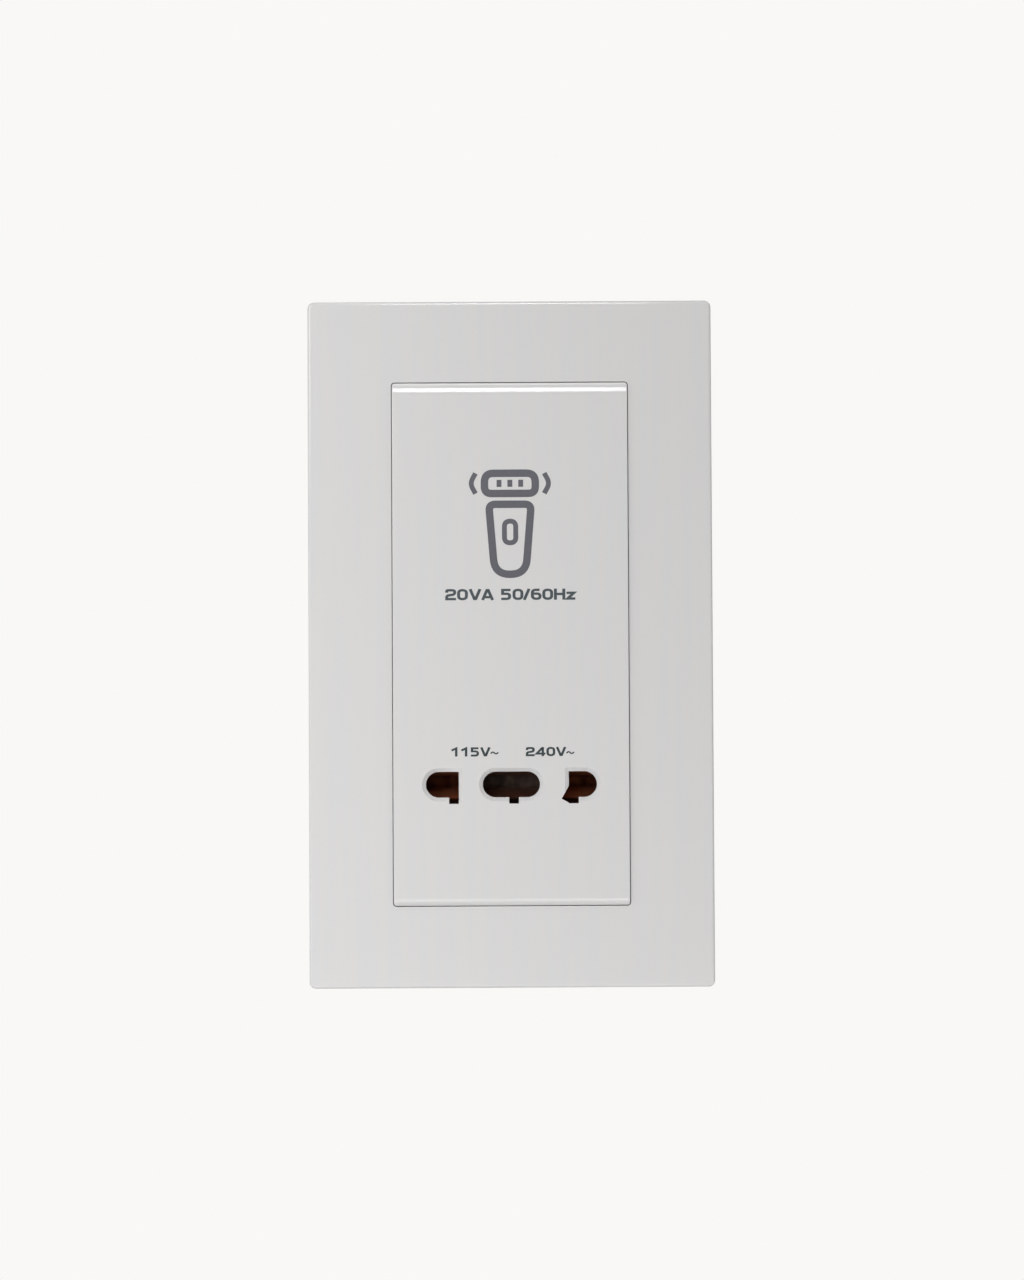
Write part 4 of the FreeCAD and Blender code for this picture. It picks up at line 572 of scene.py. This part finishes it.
for name, strokes, across, ink in (("rating_print", rating_strokes, LETTERS_ACROSS, dark_ink),
                                   ("supply_print", supply_strokes, LETTERS_ACROSS, slate_ink),
                                   ("shaver_symbol", symbol_strokes, SYMBOL_ACROSS, symbol_ink)):
    print_piece = lay_bands(name, strokes, INK_RISE, INK_DRAFT, PRINT_ORIGIN, across, PRINT_OUTWARDS,
                            ink)

# Raised marks over the clamp screws, read from behind, where +X is to the left
MARK_HEIGHT, MARK_RISE, MARK_DRAFT, MARK_MARGIN = 1.7, 0.2, 0.25, 1.15
MARK_ACROSS, MARK_OUTWARDS = (-STEM_SWELL, 0, 0), (0, 1, 0)
for node, sign in {"terminal_live": "L", "terminal_earth": "earth", "terminal_neutral": "N"}.items():
    low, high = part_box(node)
    width = SIGNS[sign][0] * MARK_HEIGHT
    strokes = set_line([sign], -width / 2, -MARK_HEIGHT - MARK_MARGIN, MARK_HEIGHT)[0]
    origin = ((low.x + high.x) / 2, BLOCK_BACK, BLOCK_TOP)
    mark = lay_bands(node + "_mark", strokes, MARK_RISE, MARK_DRAFT, origin, MARK_ACROSS, MARK_OUTWARDS,
                     finishes["grey_moulding"])


# Stage: a pale floor well below the socket, which hangs on no wall here, and a backdrop of the same tone
BACKDROP = linear("F9F8F6")
FLOOR_LEVEL, FLOOR_HALF = -1.2, 6.0
# Distances between which the floor turns into the backdrop, and the backdrop's share at its middle
FLOOR_FADE, FLOOR_GLOW = (0.15, 0.5), 0.6
# Strength with which the backdrop lights the socket
AMBIENT = 0.14
# Strength of the mirrored backdrop at the left and right, and the sideways slope that reaches them
SHEEN, SHEEN_REACH = (1.2, 0.2), 0.08


def seen_directly(tree):
    """1 for rays that show the backdrop: straight from the camera, mirrored or through clear pieces."""
    path = put(tree, "LightPath")
    mirrored = put(tree, "Math", {"operation": "MAXIMUM"},
                   {0: path.outputs["Is Glossy Ray"], 1: path.outputs["Is Transmission Ray"]}).outputs[0]
    return put(tree, "Math", {"operation": "MAXIMUM"},
               {0: path.outputs["Is Camera Ray"], 1: mirrored}).outputs[0]


def make_world():
    """A backdrop that is even to the camera, dims from left to right where it is mirrored, and lights
    weakly."""
    world = bpy.data.worlds.new("pale_backdrop")
    world.use_nodes = True
    tree = world.node_tree
    tree.nodes.clear()
    lighting = put(tree, "Background", inputs={"Color": (1, 1, 1, 1), "Strength": AMBIENT}).outputs[0]
    heading = put(tree, "TexCoord").outputs["Generated"]
    sideways = put(tree, "SeparateXYZ", inputs={0: heading}).outputs["X"]
    sheen = put(tree, "MapRange", inputs={"Value": sideways, "From Min": -SHEEN_REACH,
                                          "From Max": SHEEN_REACH, "To Min": SHEEN[0],
                                          "To Max": SHEEN[1]}).outputs[0]
    straight = put(tree, "LightPath").outputs["Is Camera Ray"]
    strength = put(tree, "Mix", FLOAT, {FACTOR: straight, FIRST_NUMBER: sheen,
                                        SECOND_NUMBER: 1}).outputs[MIXED_NUMBER]
    shown = put(tree, "Background", inputs={"Color": BACKDROP, "Strength": strength}).outputs[0]
    mixed = put(tree, "MixShader", inputs={0: seen_directly(tree), 1: lighting, 2: shown}).outputs[0]
    put(tree, "OutputWorld", inputs={"Surface": mixed})
    bpy.context.scene.world = world


def make_floor():
    """A level sheet that takes the socket's shadow and fades into the backdrop further out."""
    material, tree, place = new_material("pale_floor")
    away = put(tree, "VectorMath", {"operation": "LENGTH"}, {0: place}).outputs["Value"]
    fade = put(tree, "MapRange", {"interpolation_type": "SMOOTHSTEP"},
               {"Value": away, "From Min": FLOOR_FADE[0], "From Max": FLOOR_FADE[1],
                "To Min": FLOOR_GLOW}).outputs[0]
    share = put(tree, "Math", {"operation": "MULTIPLY"}, {0: fade, 1: seen_directly(tree)}).outputs[0]
    matt = put(tree, "BsdfDiffuse", inputs={"Color": BACKDROP}).outputs[0]
    glow = put(tree, "Emission", inputs={"Color": BACKDROP, "Strength": 1}).outputs[0]
    mixed = put(tree, "MixShader", inputs={0: share, 1: matt, 2: glow}).outputs[0]
    put(tree, "OutputMaterial", inputs={"Surface": mixed})
    side = np.array([-1, 1, 1, -1]) * FLOOR_HALF
    corners = np.stack([side, np.roll(side, 1), np.zeros(4)], 1)
    mesh = bpy.data.meshes.new("floor")
    mesh.from_pydata(corners.tolist(), [], [(0, 1, 2, 3)])
    mesh.materials.append(material)
    floor = bpy.data.objects.new("floor", mesh)
    floor.location.z = FLOOR_LEVEL
    bpy.context.scene.collection.objects.link(floor)


def add_softbox(name, place, aim, size, power):
    """A rectangular lamp at a place, turned to face the aim."""
    lamp = bpy.data.lights.new(name, "AREA")
    lamp.shape = "RECTANGLE"
    lamp.size, lamp.size_y = size
    lamp.energy = power
    holder = bpy.data.objects.new(name, lamp)
    holder.location = place
    holder.rotation_euler = (Vector(aim) - Vector(place)).to_track_quat("-Z", "Y").to_euler()
    holder.visible_camera = False
    bpy.context.scene.collection.objects.link(holder)
    return holder


# Each lamp's place, aim, width and height in metres, and its watts
LAMPS = {
    "left_key": ((-0.20, -0.14, 0.04), (0, 0, 0), (0.2, 0.34), 0.17),
    "front_fill": ((-0.36, -1.2, 0.4), (0, 0, 0), (0.3, 0.5), 3.7),
    "low_left_fill": ((-0.15, -0.16, -0.18), (0, 0, -0.04), (0.16, 0.16), 0.135),
    "low_right_fill": ((0.15, -0.16, -0.18), (0, 0, -0.04), (0.16, 0.16), 0.135),
    "upper_right_fill": ((0.36, -0.14, 0.36), (0, 0, 0), (0.2, 0.2), 0.4),
    "upper_window": ((0, -0.80, 0.46), (0, 0, 0.055), (0.14, 0.36), 1.73),
    "overhead": ((0, -0.35, 0.80), (0, 0, 0), (0.3, 0.2), 0.6),
    "low_card": ((0, -0.6, -0.306), (0, 0, -0.055), (0.2, 0.34), 0.4),
    "rear_fill": ((0.4, 0.9, 0.6), (0, 0, 0), (1.0, 0.8), 11.0),
}
make_world()
make_floor()
lamps = {name: add_softbox(name, *setting) for name, setting in LAMPS.items()}
# The large lamp behind lights the socket but isn't mirrored in it
lamps["rear_fill"].visible_glossy = False

# The photograph's view, fitted about the frame's front centre: lens in pixels, place, and turns
IMAGE_HEIGHT = 1280
FOCAL_PIXELS = 2823
VIEW_DISTANCE = 600 * MM
VIEW_SHIFT = (-0.28 * MM, -0.76 * MM)
VIEW_YAW, VIEW_PITCH, VIEW_ROLL = radians(0.14), radians(-1.42), radians(-0.30)
SENSOR = 36


def make_camera():
    """A camera that looks along +Y sees a point p at turn (p - c) + shift, where c is the frame's front
    centre. So it stands at c less the shift turned back, and its axes are turned back likewise."""
    turn = (Matrix.Rotation(VIEW_YAW, 3, "Z") @ Matrix.Rotation(VIEW_PITCH, 3, "X")
            @ Matrix.Rotation(VIEW_ROLL, 3, "Y"))
    back = turn.transposed()
    data = bpy.data.cameras.new("photograph_view")
    data.sensor_width = SENSOR
    data.lens = FOCAL_PIXELS * SENSOR / IMAGE_HEIGHT
    camera = bpy.data.objects.new("photograph_view", data)
    right, look, up = (back @ Vector(axis) for axis in ((1, 0, 0), (0, 1, 0), (0, 0, 1)))
    facing = Matrix((right, up, -look)).transposed()
    place = Vector((0, FRAME_FACE, 0)) - back @ Vector((VIEW_SHIFT[0], VIEW_DISTANCE, VIEW_SHIFT[1]))
    camera.matrix_world = Matrix.Translation(place) @ facing.to_4x4()
    bpy.context.scene.collection.objects.link(camera)
    bpy.context.scene.camera = camera


make_camera()
bpy.context.scene.view_settings.view_transform = "Standard"
